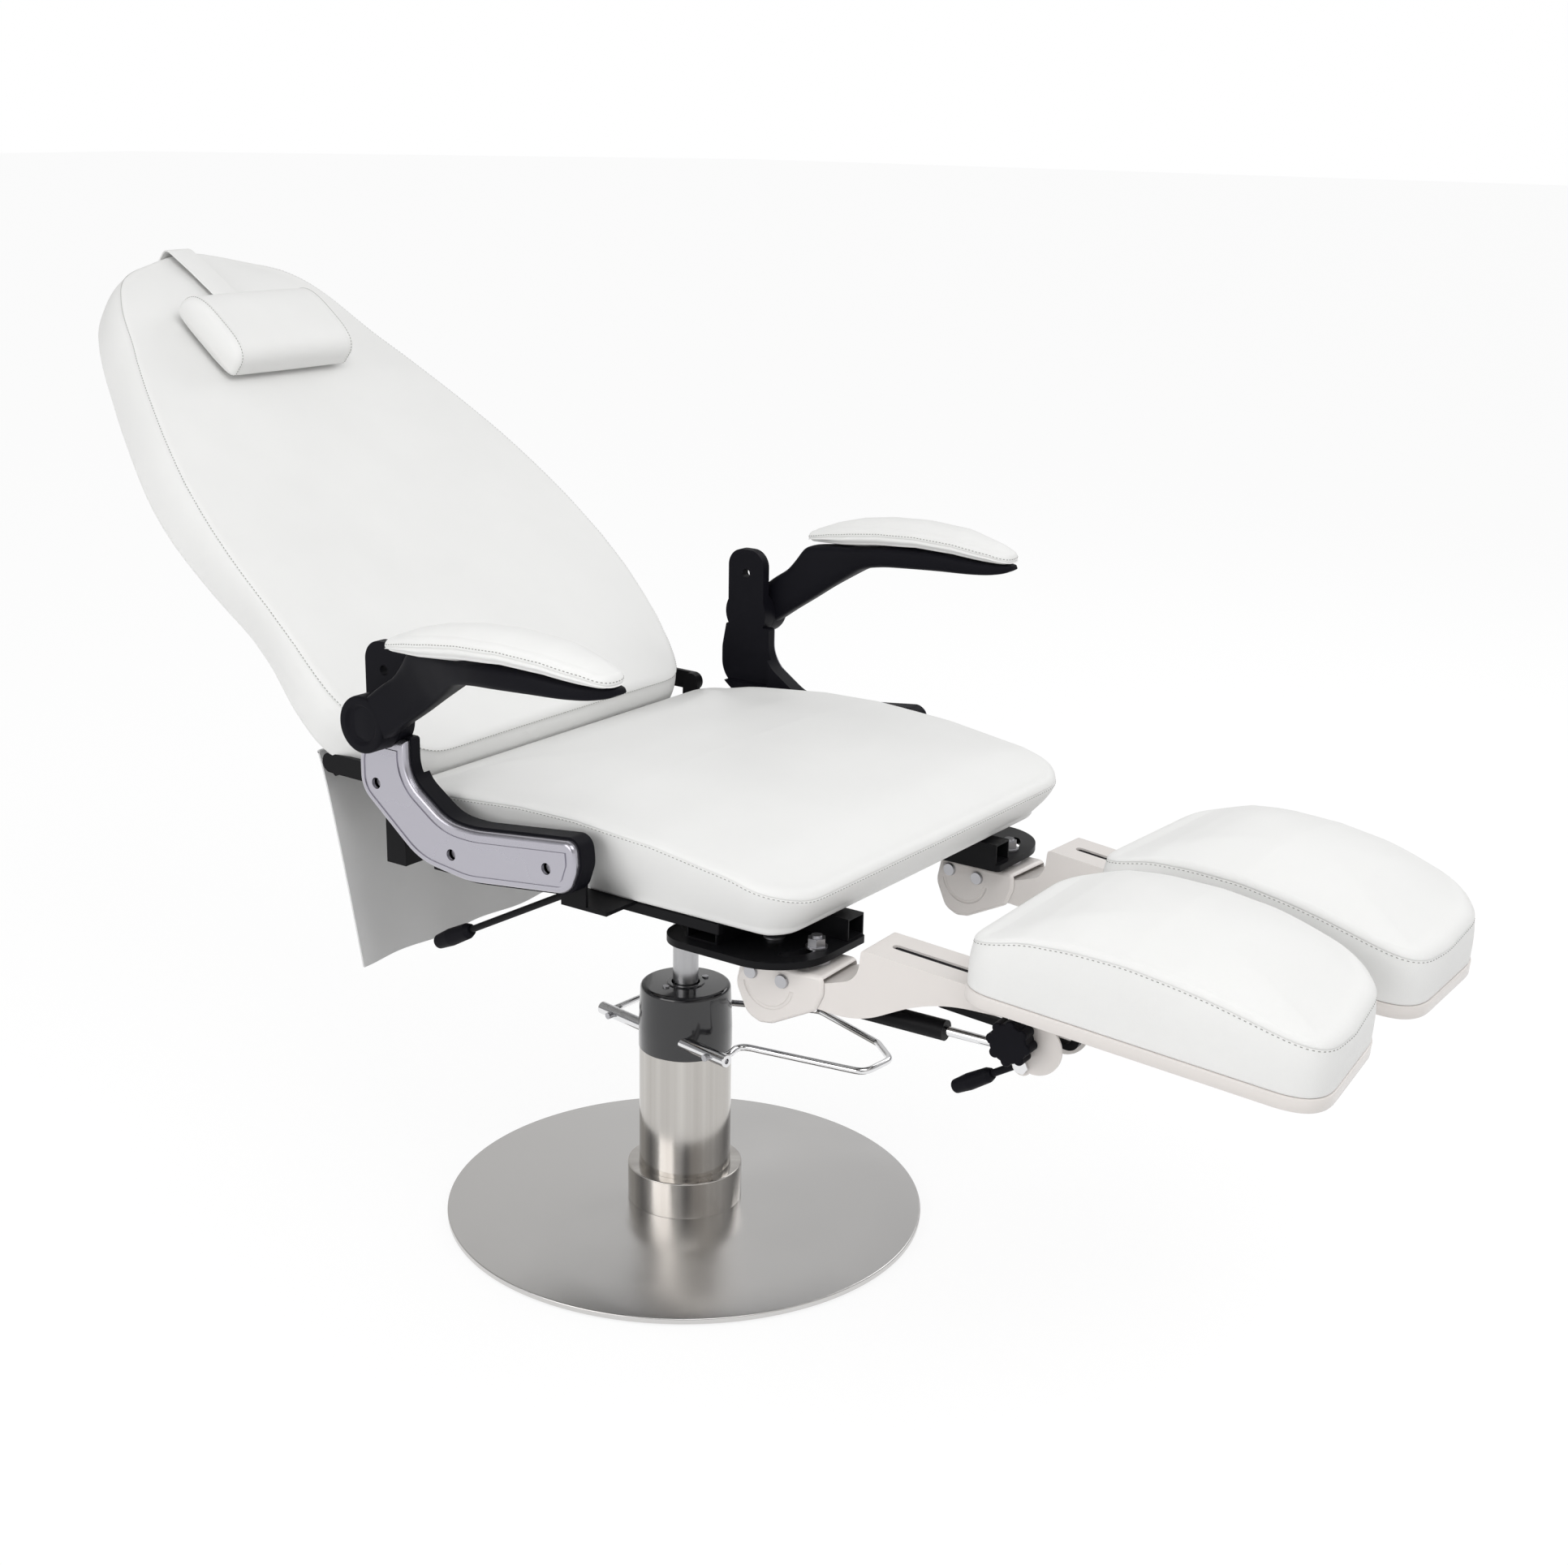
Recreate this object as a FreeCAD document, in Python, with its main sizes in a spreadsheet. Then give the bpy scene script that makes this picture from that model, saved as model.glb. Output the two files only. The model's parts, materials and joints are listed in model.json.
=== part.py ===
import FreeCAD, Part
import math
import os
import re
from FreeCAD import Placement, Rotation, Vector

# Podiatry chair on a lifting column. Millimetres; +X is forward, towards the
# leg supports, +Y is the sitter's left, +Z is up. The origin is the centre of
# the base's underside, on the floor.

doc = FreeCAD.newDocument("podiatry_chair")
sheet = doc.addObject("Spreadsheet::Sheet", "dims")

# Driving sizes: alias, value and what it measures.
SIZES = (
    ("overrun", 5, "how far a cutting tool runs past a face"),
    ("fit_gap", 0.3, "gap between pieces that move past each other"),
    ("running_gap", 0.05, "radial gap of a shaft in its bore"),
    ("base_radius", 300, "base plate"),
    ("base_rim", 10, "height of the base plate's rim"),
    ("base_rise", 6, "rise of the base plate from rim to collar"),
    ("base_skin", 2, "wall of the stainless skin"),
    ("ring_height", 3, "rubber floor ring"),
    ("ring_width", 16, "rubber floor ring"),
    ("ring_inset", 6, "floor ring in from the base's edge"),
    ("collar_radius", 72, "chrome collar"),
    ("collar_height", 47.5, "chrome collar"),
    ("collar_bevel", 1.5, "edge of the chrome collar"),
    ("sleeve_radius", 57.5, "polished column sleeve"),
    ("sleeve_wall", 2.5, "polished column sleeve"),
    ("sleeve_top", 222, "height of the sleeve's top above the floor"),
    ("cap_radius", 58.3, "black pump cap"),
    ("cap_height", 82, "black pump cap"),
    ("cap_taper", 2.2, "how much the cap narrows to its top"),
    ("cap_round", 6, "rounded edge of the cap's top"),
    ("cap_wall", 4, "black pump cap"),
    ("cap_bore_gap", 1.7, "gap round the lift rod in the cap"),
    ("cap_screw_radius", 4, "screw heads on the cap"),
    ("cap_screw_height", 1.8, "screw heads on the cap"),
    ("cap_screw_pitch", 29.5, "screw heads from the column's axis"),
    ("cap_screw_turn", -108, "angle of the first screw head"),
    ("pump_radius", 27.5, "pump cylinder"),
    ("pump_bore", 22, "pump cylinder"),
    ("pump_floor", 8, "thickness of the pump cylinder's bottom"),
    ("pump_gland", 22, "length of the gland that guides the rod"),
    ("pump_top", 296, "top of the pump cylinder above the floor"),
    ("rod_radius", 15.8, "lift rod"),
    ("rod_bottom", 160, "lift rod's lower end above the floor"),
    ("rod_top", 478, "lift rod's upper end above the floor"),
    ("piston_height", 20, "piston head"),
    ("pedal_turn", -9.6, "how far the pedal shaft is turned about the column"),
    ("pedal_height", 246, "pedal shaft's axis above the floor"),
    ("pedal_offset", 38, "pedal shaft's axis from the column's axis"),
    ("shaft_radius", 8, "pedal shaft"),
    ("shaft_half", 113.6, "half the pedal shaft's length"),
    ("shaft_hole", 3.2, "threaded hole in the pedal shaft's end"),
    ("shaft_hole_depth", 12, "threaded hole in the pedal shaft's end"),
    ("wire_radius", 4.3, "bent pedal rod"),
    ("wire_inset", 13, "bent rod in from the shaft's ends"),
    ("pedal_reach", 250, "forward corner of the pedal"),
    ("pedal_width", 195, "pedal from the shaft to its outer side"),
    ("pedal_bend", 14, "bend radius of the pedal rod"),
    ("screw_radius", 4.2, "set screws of the pedal shaft"),
    ("screw_height", 6, "set screws of the pedal shaft"),
    ("frame_low", 492, "underside of the seat's frame tubes"),
    ("seat_low", 521, "underside of the seat"),
    ("rail_offset", 157, "long rails from the middle"),
    ("rail_width", 30, "long rails"),
    ("rail_height", 25, "long rails"),
    ("rail_wall", 2, "long rails and cross tubes"),
    ("rail_front", 348, "front end of the long rails"),
    ("rail_rear", -222, "rear end of the long rails"),
    ("cross_middle", 224, "front cross tube's middle"),
    ("cross_depth", 40, "front cross tube along X"),
    ("cross_height", 20, "front cross tube"),
    ("cross_half", 266, "half the front cross tube's length"),
    ("plate_height", 8, "swivel plates and the column's flange"),
    ("plate_round", 75, "round corner of the swivel plates"),
    ("plate_inner", 142, "inner edge of the swivel plates"),
    ("plate_rear", 170, "rear edge of the swivel plates"),
    ("swing_x", 277, "swing pivot of a leg support"),
    ("swing_y", 207, "swing pivot of a leg support"),
    ("slot_radius", 53, "curved slot of the swivel plates"),
    ("slot_back", 9, "how far the slot runs inwards of the bolt, degrees"),
    ("slot_sweep", 46, "how far the slot runs outwards of the bolt, degrees"),
    ("bolt_radius", 6, "swing pivot and clamp bolts"),
    ("nut_radius", 10.5, "nuts across their corners"),
    ("nut_height", 9, "nuts"),
    ("washer_radius", 12, "washers under the nuts"),
    ("washer_height", 1.8, "washers under the nuts"),
    ("spacer_radius", 16, "spacers between plate and bracket"),
    ("socket_radius", 32, "hub on the lift rod"),
    ("socket_low", 452, "underside of the hub on the lift rod"),
    ("flange_half", 45, "half the flange's length along X"),
    ("strap_height", 4, "armrest brackets"),
    ("strap_front", 140, "front edge of the front armrest bracket"),
    ("strap_width", 63, "front armrest bracket"),
    ("strap_rear_width", 44, "rear armrest bracket"),
    ("strap_rear", -110, "rear edge of the rear armrest bracket"),
    ("strap_space", 46, "outer face of the armrest brackets from the cushion's foot"),
    ("strap_reach", "=seat_half_low + strap_space", "outer face of the armrest brackets"),
    ("strap_rise", 58, "upright of the armrest brackets"),
    ("support_thick", 22, "thickness of an arm support"),
    ("support_outer", "=strap_reach + support_thick", "outer face of the arm supports"),
    ("cover_thick", 9, "height of an arm cover on its support"),
    ("cover_outer", "=support_outer + cover_thick", "outer face of the arm covers"),
    ("cover_wall", 2.5, "arm covers"),
    ("cover_inset", 3, "arm covers in from the supports' outline"),
    ("cover_round", 5, "rounded edge of the arm covers"),
    ("support_rear", -194, "rear edge of an arm support"),
    ("support_run", 320, "length of an arm support"),
    ("support_low", 524, "lowest edge of an arm support"),
    ("support_rise", 149, "height of an arm support's band"),
    ("cover_hole", 6.5, "holes of an arm cover"),
    ("cover_bolt", 5.2, "bolt heads in an arm cover"),
    ("arm_pivot_x", -156, "pivot of an arm rest"),
    ("arm_pivot_z", 690, "pivot of an arm rest"),
    ("drum_radius", 32.5, "pivot drum of an arm rest"),
    ("drum_thick", 30, "pivot drum from the cover's outer face"),
    ("drum_outer", "=cover_outer + drum_thick", "outer face of the pivot drum"),
    ("pivot_radius", 7, "pivot pin of an arm rest"),
    ("tab_width", 57, "upright tab above the pivot"),
    ("tab_top", 776, "top of the upright tab"),
    ("tab_step", 9, "upright tab thinner than the support on its inner side"),
    ("tab_inner", "=strap_reach + tab_step", "inner face of the upright tab"),
    ("tab_hole", 6, "hole of the upright tab"),
    ("tab_hole_drop", 32, "hole below the tab's top"),
    ("arm_shift", 10, "middle of an arm rest outside its drum"),
    ("arm_middle", "=drum_outer + arm_shift", "middle of an arm rest, across"),
    ("arm_run", 307, "length of an arm rest's pad"),
    ("arm_rear", -91, "rear end of an arm rest's pad"),
    ("arm_width", 74, "arm rest's pad"),
    ("arm_low", 664, "lowest point of an arm rest's neck"),
    ("arm_rise", 142, "height of an arm rest's shell"),
    ("arm_top", 789, "underside of an arm rest's pad at its rear end"),
    ("arm_thick", 50, "arm rest's pad with its curved underside"),
    ("board_height", 12, "seat and back boards"),
    ("board_inset", 16, "boards in from the cushions' edge"),
    ("seat_rear", -198, "rear face of the seat cushion"),
    ("seat_front", 334, "front face of the seat cushion at its foot"),
    ("seat_lip", 25, "how far the front leans out to its edge"),
    ("seat_half_low", 277, "half width of the seat cushion at its foot"),
    ("seat_half_edge", 306, "half width at the stitched edge"),
    ("seat_corner", 58, "rounded corners of the seat cushion"),
    ("seat_edge_high", 608, "height of the stitched edge at its highest"),
    ("seat_edge_front", 566, "height of the front stitched edge"),
    ("seat_crown", 13, "crown above the stitched edge"),
    ("cushion_round", 12, "rounding of the stitched edges"),
    ("cushion_foot", 8, "rounding of the cushions' feet"),
    ("back_angle", 38, "backrest's face above the horizontal, degrees"),
    ("back_foot_x", -200, "foot of the backrest's face"),
    ("back_foot_z", 634, "foot of the backrest's face"),
    ("back_length", 838, "backrest along its face"),
    ("back_half", 306, "half width of the backrest"),
    ("back_depth", 80, "thickness of the backrest"),
    ("back_side", 20, "drop of the side edge below the face's middle"),
    ("back_foot_round", 24, "rounding of the backrest's lower end"),
    ("hinge_x", -208, "recline axis"),
    ("hinge_z", 597, "recline axis"),
    ("hinge_radius", 7, "recline pins"),
    ("hinge_plate", 6, "hinge plates and uprights"),
    ("hinge_width", 24, "hinge plates and uprights"),
    ("hinge_space", 2, "gap from the cushion's foot to the hinge uprights"),
    ("hinge_inner", "=seat_half_low + hinge_space", "inner face of the hinge uprights"),
    ("back_tube", 25, "tubes of the back frame"),
    ("back_tube_offset", 150, "tubes of the back frame from the middle"),
    ("back_tube_low", 48, "lower end of the back frame's tubes"),
    ("back_tube_drop", 148, "upper end of the back frame's tubes below the backrest's"),
    ("back_tube_high", "=back_length - back_tube_drop", "upper end of the back frame's tubes"),
    ("spring_offset", 80, "recline gas spring, across"),
    ("spring_front_x", 75, "front end of the recline gas spring"),
    ("spring_front_z", 448, "front end of the recline gas spring"),
    ("spring_rear_x", -228, "rear end of the recline gas spring"),
    ("spring_rear_z", 490, "rear end of the recline gas spring"),
    ("spring_radius", 11, "gas spring cylinders"),
    ("spring_rod", 5, "gas spring rods"),
    ("spring_length", 172, "recline gas spring's cylinder"),
    ("spring_fit", 0.08, "radial gap of a gas spring's rod in its cylinder"),
    ("eye_radius", 10, "eyes of the gas springs"),
    ("eye_width", 10, "eyes of the gas springs"),
    ("ear_gap", 1, "gap beside an eye in its fork"),
    ("fork_plate", 5, "fork plates of the gas springs"),
    ("lever_x", 38, "recline lever's stub shaft"),
    ("lever_z", 504.5, "recline lever's stub shaft"),
    ("lever_offset", 262, "recline lever from the middle"),
    ("lever_shaft", 5, "recline lever's shaft"),
    ("lever_length", 169, "rod of the recline lever"),
    ("lever_rod", 4, "rod of the recline lever"),
    ("lever_slope", 27.7, "recline lever below the horizontal, degrees"),
    ("grip_length", 62, "grips of the levers"),
    ("grip_radius", 10.5, "grips of the levers"),
    ("skirt_top_x", -335.5, "seam of the skirt"),
    ("skirt_top_z", 603.5, "seam of the skirt"),
    ("skirt_foot_x", -277, "hem of the skirt"),
    ("skirt_foot_z", 345, "hem of the skirt"),
    ("skirt_half", 280, "half width of the skirt"),
    ("skirt_wall", 3, "skirt"),
    ("skirt_bead", 2.2, "piped bead along the skirt's seam"),
    ("pillow_drop", 185, "middle of the head pillow below the backrest's top"),
    ("pillow_middle", "=back_length - pillow_drop", "middle of the head pillow up the face"),
    ("pillow_length", 128, "head pillow up the face"),
    ("pillow_half", 106, "half width of the head pillow"),
    ("pillow_height", 52, "head pillow"),
    ("strap_half", 20, "half width of the head strap"),
    ("strap_wall", 2.4, "head strap"),
    ("leg_toe", 2.7, "legs turned inwards, degrees"),
    ("leg_slope", 4.5, "legs tilted down, degrees"),
    ("tilt_x", 34, "tilt pivot forward of the swing pivot"),
    ("tilt_z", 461, "tilt pivot above the floor"),
    ("tilt_radius", 5, "tilt pin"),
    ("bracket_rear", -26, "rear edge of a leg bracket from the swing pivot"),
    ("bracket_run", 112, "length of a leg bracket"),
    ("bracket_low", 406, "lowest edge of a leg bracket"),
    ("bracket_rise", 70, "height of a leg bracket"),
    ("bracket_half", 37, "half width of a leg bracket"),
    ("bracket_wall", 3.2, "leg brackets"),
    ("bracket_round", 5, "rounded edges of a leg bracket"),
    ("leg_half", 33, "half width of a leg arm"),
    ("leg_wall", 2.5, "leg arms"),
    ("leg_rear", 28, "rear end of a leg arm from the swing pivot"),
    ("leg_run", 392, "length of a leg arm"),
    ("leg_low", 441.4, "lowest edge of a leg arm"),
    ("leg_rise", 81, "height of a leg arm"),
    ("leg_slot", 5.5, "half width of the slot on a leg arm"),
    ("leg_slot_start", 141, "rear end of the slot"),
    ("leg_slot_length", 264, "length of the slot"),
    ("ear_x", 326.4, "middle of the ear plates from the swing pivot"),
    ("ear_z", 480, "middle of the ear plates"),
    ("ear_radius", 29, "ear plates"),
    ("ear_boss", 11, "round of an ear plate about the spring's pin"),
    ("eye_x", 315.2, "gas spring's pin from the swing pivot"),
    ("eye_z", 457, "gas spring's pin"),
    ("leg_spring_slope", 4.3, "gas spring against its leg arm, degrees"),
    ("leg_spring_length", 182, "leg gas spring's cylinder"),
    ("leg_spring_front", 103, "cylinder's front end back from its pin"),
    ("knob_x", 306.9, "star knob from the swing pivot"),
    ("knob_z", 485.5, "star knob"),
    ("knob_radius", 24, "star knob"),
    ("knob_depth", 18, "star knob"),
    ("knob_lobe", 8, "lobes of the star knob"),
    ("knob_hub", 5, "hub behind the star knob"),
    ("stud_radius", 4, "stud of the star knob"),
    ("tray_rear", 251, "rear edge of a leg tray from the swing pivot"),
    ("tray_run", 376, "length of a leg tray"),
    ("tray_outer", 78, "leg tray outwards of its arm"),
    ("tray_inner", 168, "leg tray inwards of its arm"),
    ("tray_height", 15, "leg trays"),
    ("tray_corner", 42, "corners of the leg trays"),
    ("tray_slant", 16, "how far the inner front corner runs ahead"),
    ("bar_half", 4, "half thickness of the slide bars"),
    ("bar_rear", 194, "rear end of a slide bar"),
    ("bar_run", 166, "length of a slide bar"),
    ("bar_low", 474, "lowest edge of a slide bar"),
    ("bar_rise", 27, "height of a slide bar"),
    ("neck_rear", 258, "neck of a slide bar from the swing pivot"),
    ("neck_run", 42, "neck of a slide bar"),
    ("travel_back", 40, "how far a leg support slides back"),
    ("travel_ahead", 100, "how far a leg support slides out"),
    ("pad_edge", 71, "leg pad's stitched edge above its tray"),
    ("pad_end", 54, "leg pad's stitched edge at its ends"),
    ("pad_crown", 18, "crown of a leg pad"),
    ("pad_inset", 4, "leg pad's foot in from its tray"),
    ("leg_lever_length", 44, "rod of a leg's release lever"),
    ("leg_lever_slope", 36, "release lever below the horizontal, degrees"),
    ("leg_lever_offset", 20, "release lever from the arm's middle"),
)

for row, (alias, value, note) in enumerate(SIZES, start=1):
    sheet.set("A%d" % row, note)
    sheet.setAlias("B%d" % row, alias)
for row, (alias, value, note) in enumerate(SIZES, start=1):
    sheet.set("B%d" % row, str(value))
doc.recompute()


class Sizes:
    """The sheet's values, read by their aliases."""

    def __getattr__(self, alias):
        return float(sheet.get(alias))


d = Sizes()
Z_AXIS = Vector(0, 0, 1)
Y_AXIS = Vector(0, 1, 0)
X_AXIS = Vector(1, 0, 0)
ORIGIN = Vector(0, 0, 0)
ALONG = {"Z": Rotation(), "X": Rotation(Y_AXIS, 90), "Y": Rotation(X_AXIS, -90)}
SIDES = (("right", -1), ("left", 1))
NODES = []


def rule(text):
    """Turn a rule in aliases into an expression on the sheet."""
    return re.sub(r"[a-z][a-z0-9_]*", lambda word: "dims." + word.group(0), str(text))


def bind(item, **rules):
    """Bind properties of an object to rules on the sheet."""
    for name, text in rules.items():
        item.setExpression(name, rule(text))
    return item


def put(item, x=0, y=0, z=0, along="Z"):
    """Place an object: its start as rules on the sheet, its direction by a letter."""
    item.Placement = Placement(ORIGIN, ALONG[along])
    for name, text in (("x", x), ("y", y), ("z", z)):
        item.setExpression("Placement.Base." + name, rule(text))
    return item


def rod(name, radius, length, x=0, y=0, z=0, along="Z"):
    bar = doc.addObject("Part::Cylinder", name)
    bind(bar, Radius=radius, Height=length)
    return put(bar, x, y, z, along)


def block(name, size, x=0, y=0, z=0):
    """A box from its lowest corner."""
    box = doc.addObject("Part::Box", name)
    bind(box, Length=size[0], Width=size[1], Height=size[2])
    return put(box, x, y, z)


def cut(name, base, *tools):
    """A piece with tools taken out of it."""
    for number, tool in enumerate(tools):
        last = number == len(tools) - 1
        piece = doc.addObject("Part::Cut", name if last else "%s_step%d" % (name, number))
        piece.Base = base
        piece.Tool = tool
        base = piece
    return base


def fuse(name, *pieces):
    whole = doc.addObject("Part::MultiFuse", name)
    whole.Shapes = list(pieces)
    return whole


def feature(name, shape):
    item = doc.addObject("Part::Feature", name)
    item.Shape = shape
    return item


def moved(item, place):
    """Take an object, with its own placement, to a place on the chair."""
    item.Placement = place.multiply(item.Placement)
    return item


def group(name, shapes):
    """Several separate solids of one node."""
    return feature(name, shapes[0] if len(shapes) == 1 else Part.makeCompound(shapes))


def node(item, label):
    """Mark an object as a sub-part with this name."""
    item.Label = label
    NODES.append(item)
    return item


def rounded(points):
    """Lines and arcs round a closed outline of (x, y, corner radius)."""
    count = len(points)
    corners = [Vector(x, y, 0) for x, y, radius in points]
    pieces = []
    joints = []
    for index, corner in enumerate(corners):
        radius = points[index][2]
        back = (corners[index - 1] - corner).normalize()
        ahead = (corners[(index + 1) % count] - corner).normalize()
        if radius <= 0:
            joints.append((corner, None, corner))
            continue
        half = back.getAngle(ahead) / 2
        room = 0.49 * min(corner.distanceToPoint(corners[index - 1]),
                          corner.distanceToPoint(corners[(index + 1) % count]))
        reach = min(radius / math.tan(half), room)
        radius = reach * math.tan(half)
        middle = corner + (back + ahead).normalize() * (radius / math.sin(half))
        near = middle + (corner - middle).normalize() * radius
        joints.append((corner + back * reach, near, corner + ahead * reach))
    for index, (start, near, end) in enumerate(joints):
        if near is not None:
            pieces.append(Part.Arc(start, near, end))
        following = joints[(index + 1) % count][0]
        if end.distanceToPoint(following) > 1e-6:
            pieces.append(Part.LineSegment(end, following))
    return pieces


def padded_body(name, outline, length, plane="XY_Plane", midplane=False):
    """A body whose sketch of lines and arcs is padded to a length from the sheet."""
    body = doc.addObject("PartDesign::Body", name)
    sketch = body.newObject("Sketcher::SketchObject", name + "_outline")
    base = next(item for item in body.Origin.OriginFeatures if item.Role == plane)
    sketch.AttachmentSupport = (base, [""])
    sketch.MapMode = "FlatFace"
    sketch.addGeometry(rounded(outline), False)
    doc.recompute()
    pad = body.newObject("PartDesign::Pad", name + "_pad")
    pad.Profile = sketch
    pad.Midplane = midplane
    pad.setExpression("Length", rule(length))
    doc.recompute()
    return body


def turned_body(name, outline):
    """A body turned about Z from an outline of (radius, height, corner radius)."""
    body = doc.addObject("PartDesign::Body", name)
    sketch = body.newObject("Sketcher::SketchObject", name + "_outline")
    base = next(item for item in body.Origin.OriginFeatures if item.Role == "XZ_Plane")
    sketch.AttachmentSupport = (base, [""])
    sketch.MapMode = "FlatFace"
    sketch.addGeometry(rounded(outline), False)
    doc.recompute()
    turn = body.newObject("PartDesign::Revolution", name + "_turn")
    turn.Profile = sketch
    turn.ReferenceAxis = (sketch, ["V_Axis"])
    turn.Angle = 360
    doc.recompute()
    return body


def shared(shares, x, run, y, rise, band):
    """An outline from shares of a run, a rise and a band."""
    return [(x + run * along, y + rise * up, band * radius) for along, up, radius in shares]


def prism(outline, thickness, normal="Z"):
    """A solid between an outline and its copy, thickness away along +Z or +-Y."""
    wire = Part.Wire([piece.toShape() for piece in rounded(outline)])
    if normal == "Y":
        wire.Placement = Placement(ORIGIN, Rotation(X_AXIS, 90))
        return Part.Face(wire).extrude(Vector(0, thickness, 0))
    return Part.Face(wire).extrude(Vector(0, 0, thickness))


def side_prism(outline, start, end):
    """A solid with an outline in X and Z, from one place across to another."""
    solid = prism(outline, end - start, "Y")
    solid.translate(Vector(0, start, 0))
    return solid


def bar(radius, length, start, direction):
    return Part.makeCylinder(radius, length, start, direction)


def disc(radius, start, end, x, z):
    """A round piece across the chair, from one place on Y to another."""
    low = min(start, end)
    return Part.makeCylinder(radius, abs(end - start), Vector(x, low, z), Y_AXIS)


def bent_rod(points, bend, radius):
    """A round rod along straight runs joined by arcs of one bend radius."""
    edges = []
    place = points[0]
    for index in range(1, len(points) - 1):
        corner = points[index]
        back = (points[index - 1] - corner).normalize()
        ahead = (points[index + 1] - corner).normalize()
        half = back.getAngle(ahead) / 2
        reach = bend / math.tan(half)
        middle = corner + (back + ahead).normalize() * (bend / math.sin(half))
        near = middle + (corner - middle).normalize() * bend
        edges.append(Part.LineSegment(place, corner + back * reach).toShape())
        place = corner + ahead * reach
        edges.append(Part.Arc(corner + back * reach, near, place).toShape())
    edges.append(Part.LineSegment(place, points[-1]).toShape())
    path = Part.Wire(edges)
    ring = Part.Wire([Part.Circle(points[0], points[1] - points[0], radius).toShape()])
    return path.makePipeShell([ring], True, False)


def cushion_section(place, across, up, half_low, half_edge, foot, edge, crown, side=0.0):
    """One cross-section of a cushion: flat foot, leaning sides, rounded edge, crown.

    place is a point on the cushion's middle line, across and up are unit vectors,
    and side moves the section's middle sideways.
    """
    low = d.cushion_foot
    turn = min(d.cushion_round, (edge - foot) / 3)

    def at(width, height):
        return place + across * (side + width) + up * height

    lean = (half_edge - half_low) / (edge - foot)
    top = edge + (crown - edge) / 6
    corners = []
    for sign in (1, -1):
        under = at(sign * (half_low - low), foot)
        foot_mid = at(sign * (half_low - low * 0.25), foot + low * 0.25)
        foot_top = at(sign * (half_low + lean * low), foot + low)
        edge_low = at(sign * (half_edge - lean * turn), edge - turn)
        edge_mid = at(sign * (half_edge - turn * 0.22), edge - turn * 0.16)
        edge_top = at(sign * (half_edge - turn), top)
        corners.append((under, foot_mid, foot_top, edge_low, edge_mid, edge_top))
    right, left = corners
    return Part.Wire([
        Part.LineSegment(left[0], right[0]).toShape(),
        Part.Arc(right[0], right[1], right[2]).toShape(),
        Part.LineSegment(right[2], right[3]).toShape(),
        Part.Arc(right[3], right[4], right[5]).toShape(),
        Part.Arc(right[5], at(0, crown), left[5]).toShape(),
        Part.Arc(left[5], left[4], left[3]).toShape(),
        Part.LineSegment(left[3], left[2]).toShape(),
        Part.Arc(left[2], left[1], left[0]).toShape(),
    ])


# Base: rubber ring, steel disc, stainless skin, collar and sleeve

def make_base():
    ring_out = rod("floor_ring_out", "base_radius - ring_inset", "ring_height")
    ring_in = rod("floor_ring_in", "base_radius - ring_inset - ring_width",
                  "ring_height + 2 * overrun", z="-overrun")
    node(cut("floor_ring_cut", ring_out, ring_in), "floor_ring")
    deck = d.base_rim + d.base_rise
    inner = d.collar_radius + d.overrun
    weight = turned_body("base_weight_body", [
        (0, d.ring_height, 0),
        (d.base_radius - d.base_skin, d.ring_height, 0),
        (d.base_radius - d.base_skin, d.base_rim - d.base_skin, 0),
        (inner, deck - d.base_skin, 0),
        (0, deck - d.base_skin, 0),
    ])
    node(weight, "base_weight")
    skin = turned_body("base_cover_body", [
        (d.pump_radius + d.base_skin, deck - d.base_skin, 0),
        (inner, deck - d.base_skin, 0),
        (d.base_radius - d.base_skin, d.base_rim - d.base_skin, 0),
        (d.base_radius - d.base_skin, d.ring_height, 0),
        (d.base_radius, d.ring_height, 0),
        (d.base_radius, d.base_rim, d.base_skin),
        (inner, deck, 0),
        (d.pump_radius + d.base_skin, deck, 0),
    ])
    node(skin, "base_cover")
    collar = turned_body("column_collar_body", [
        (d.sleeve_radius, deck, 0),
        (d.collar_radius, deck, 0),
        (d.collar_radius, deck + d.collar_height, d.collar_bevel),
        (d.sleeve_radius, deck + d.collar_height, 0),
    ])
    node(collar, "column_collar")
    sleeve = rod("sleeve_out", "sleeve_radius", "sleeve_top - base_rim - base_rise",
                 z="base_rim + base_rise")
    bore = rod("sleeve_in", "sleeve_radius - sleeve_wall", "sleeve_top", z="base_rim")
    node(cut("column_sleeve_cut", sleeve, bore), "column_sleeve")


def pedal_place():
    return Placement(ORIGIN, Rotation(Z_AXIS, d.pedal_turn))


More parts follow.
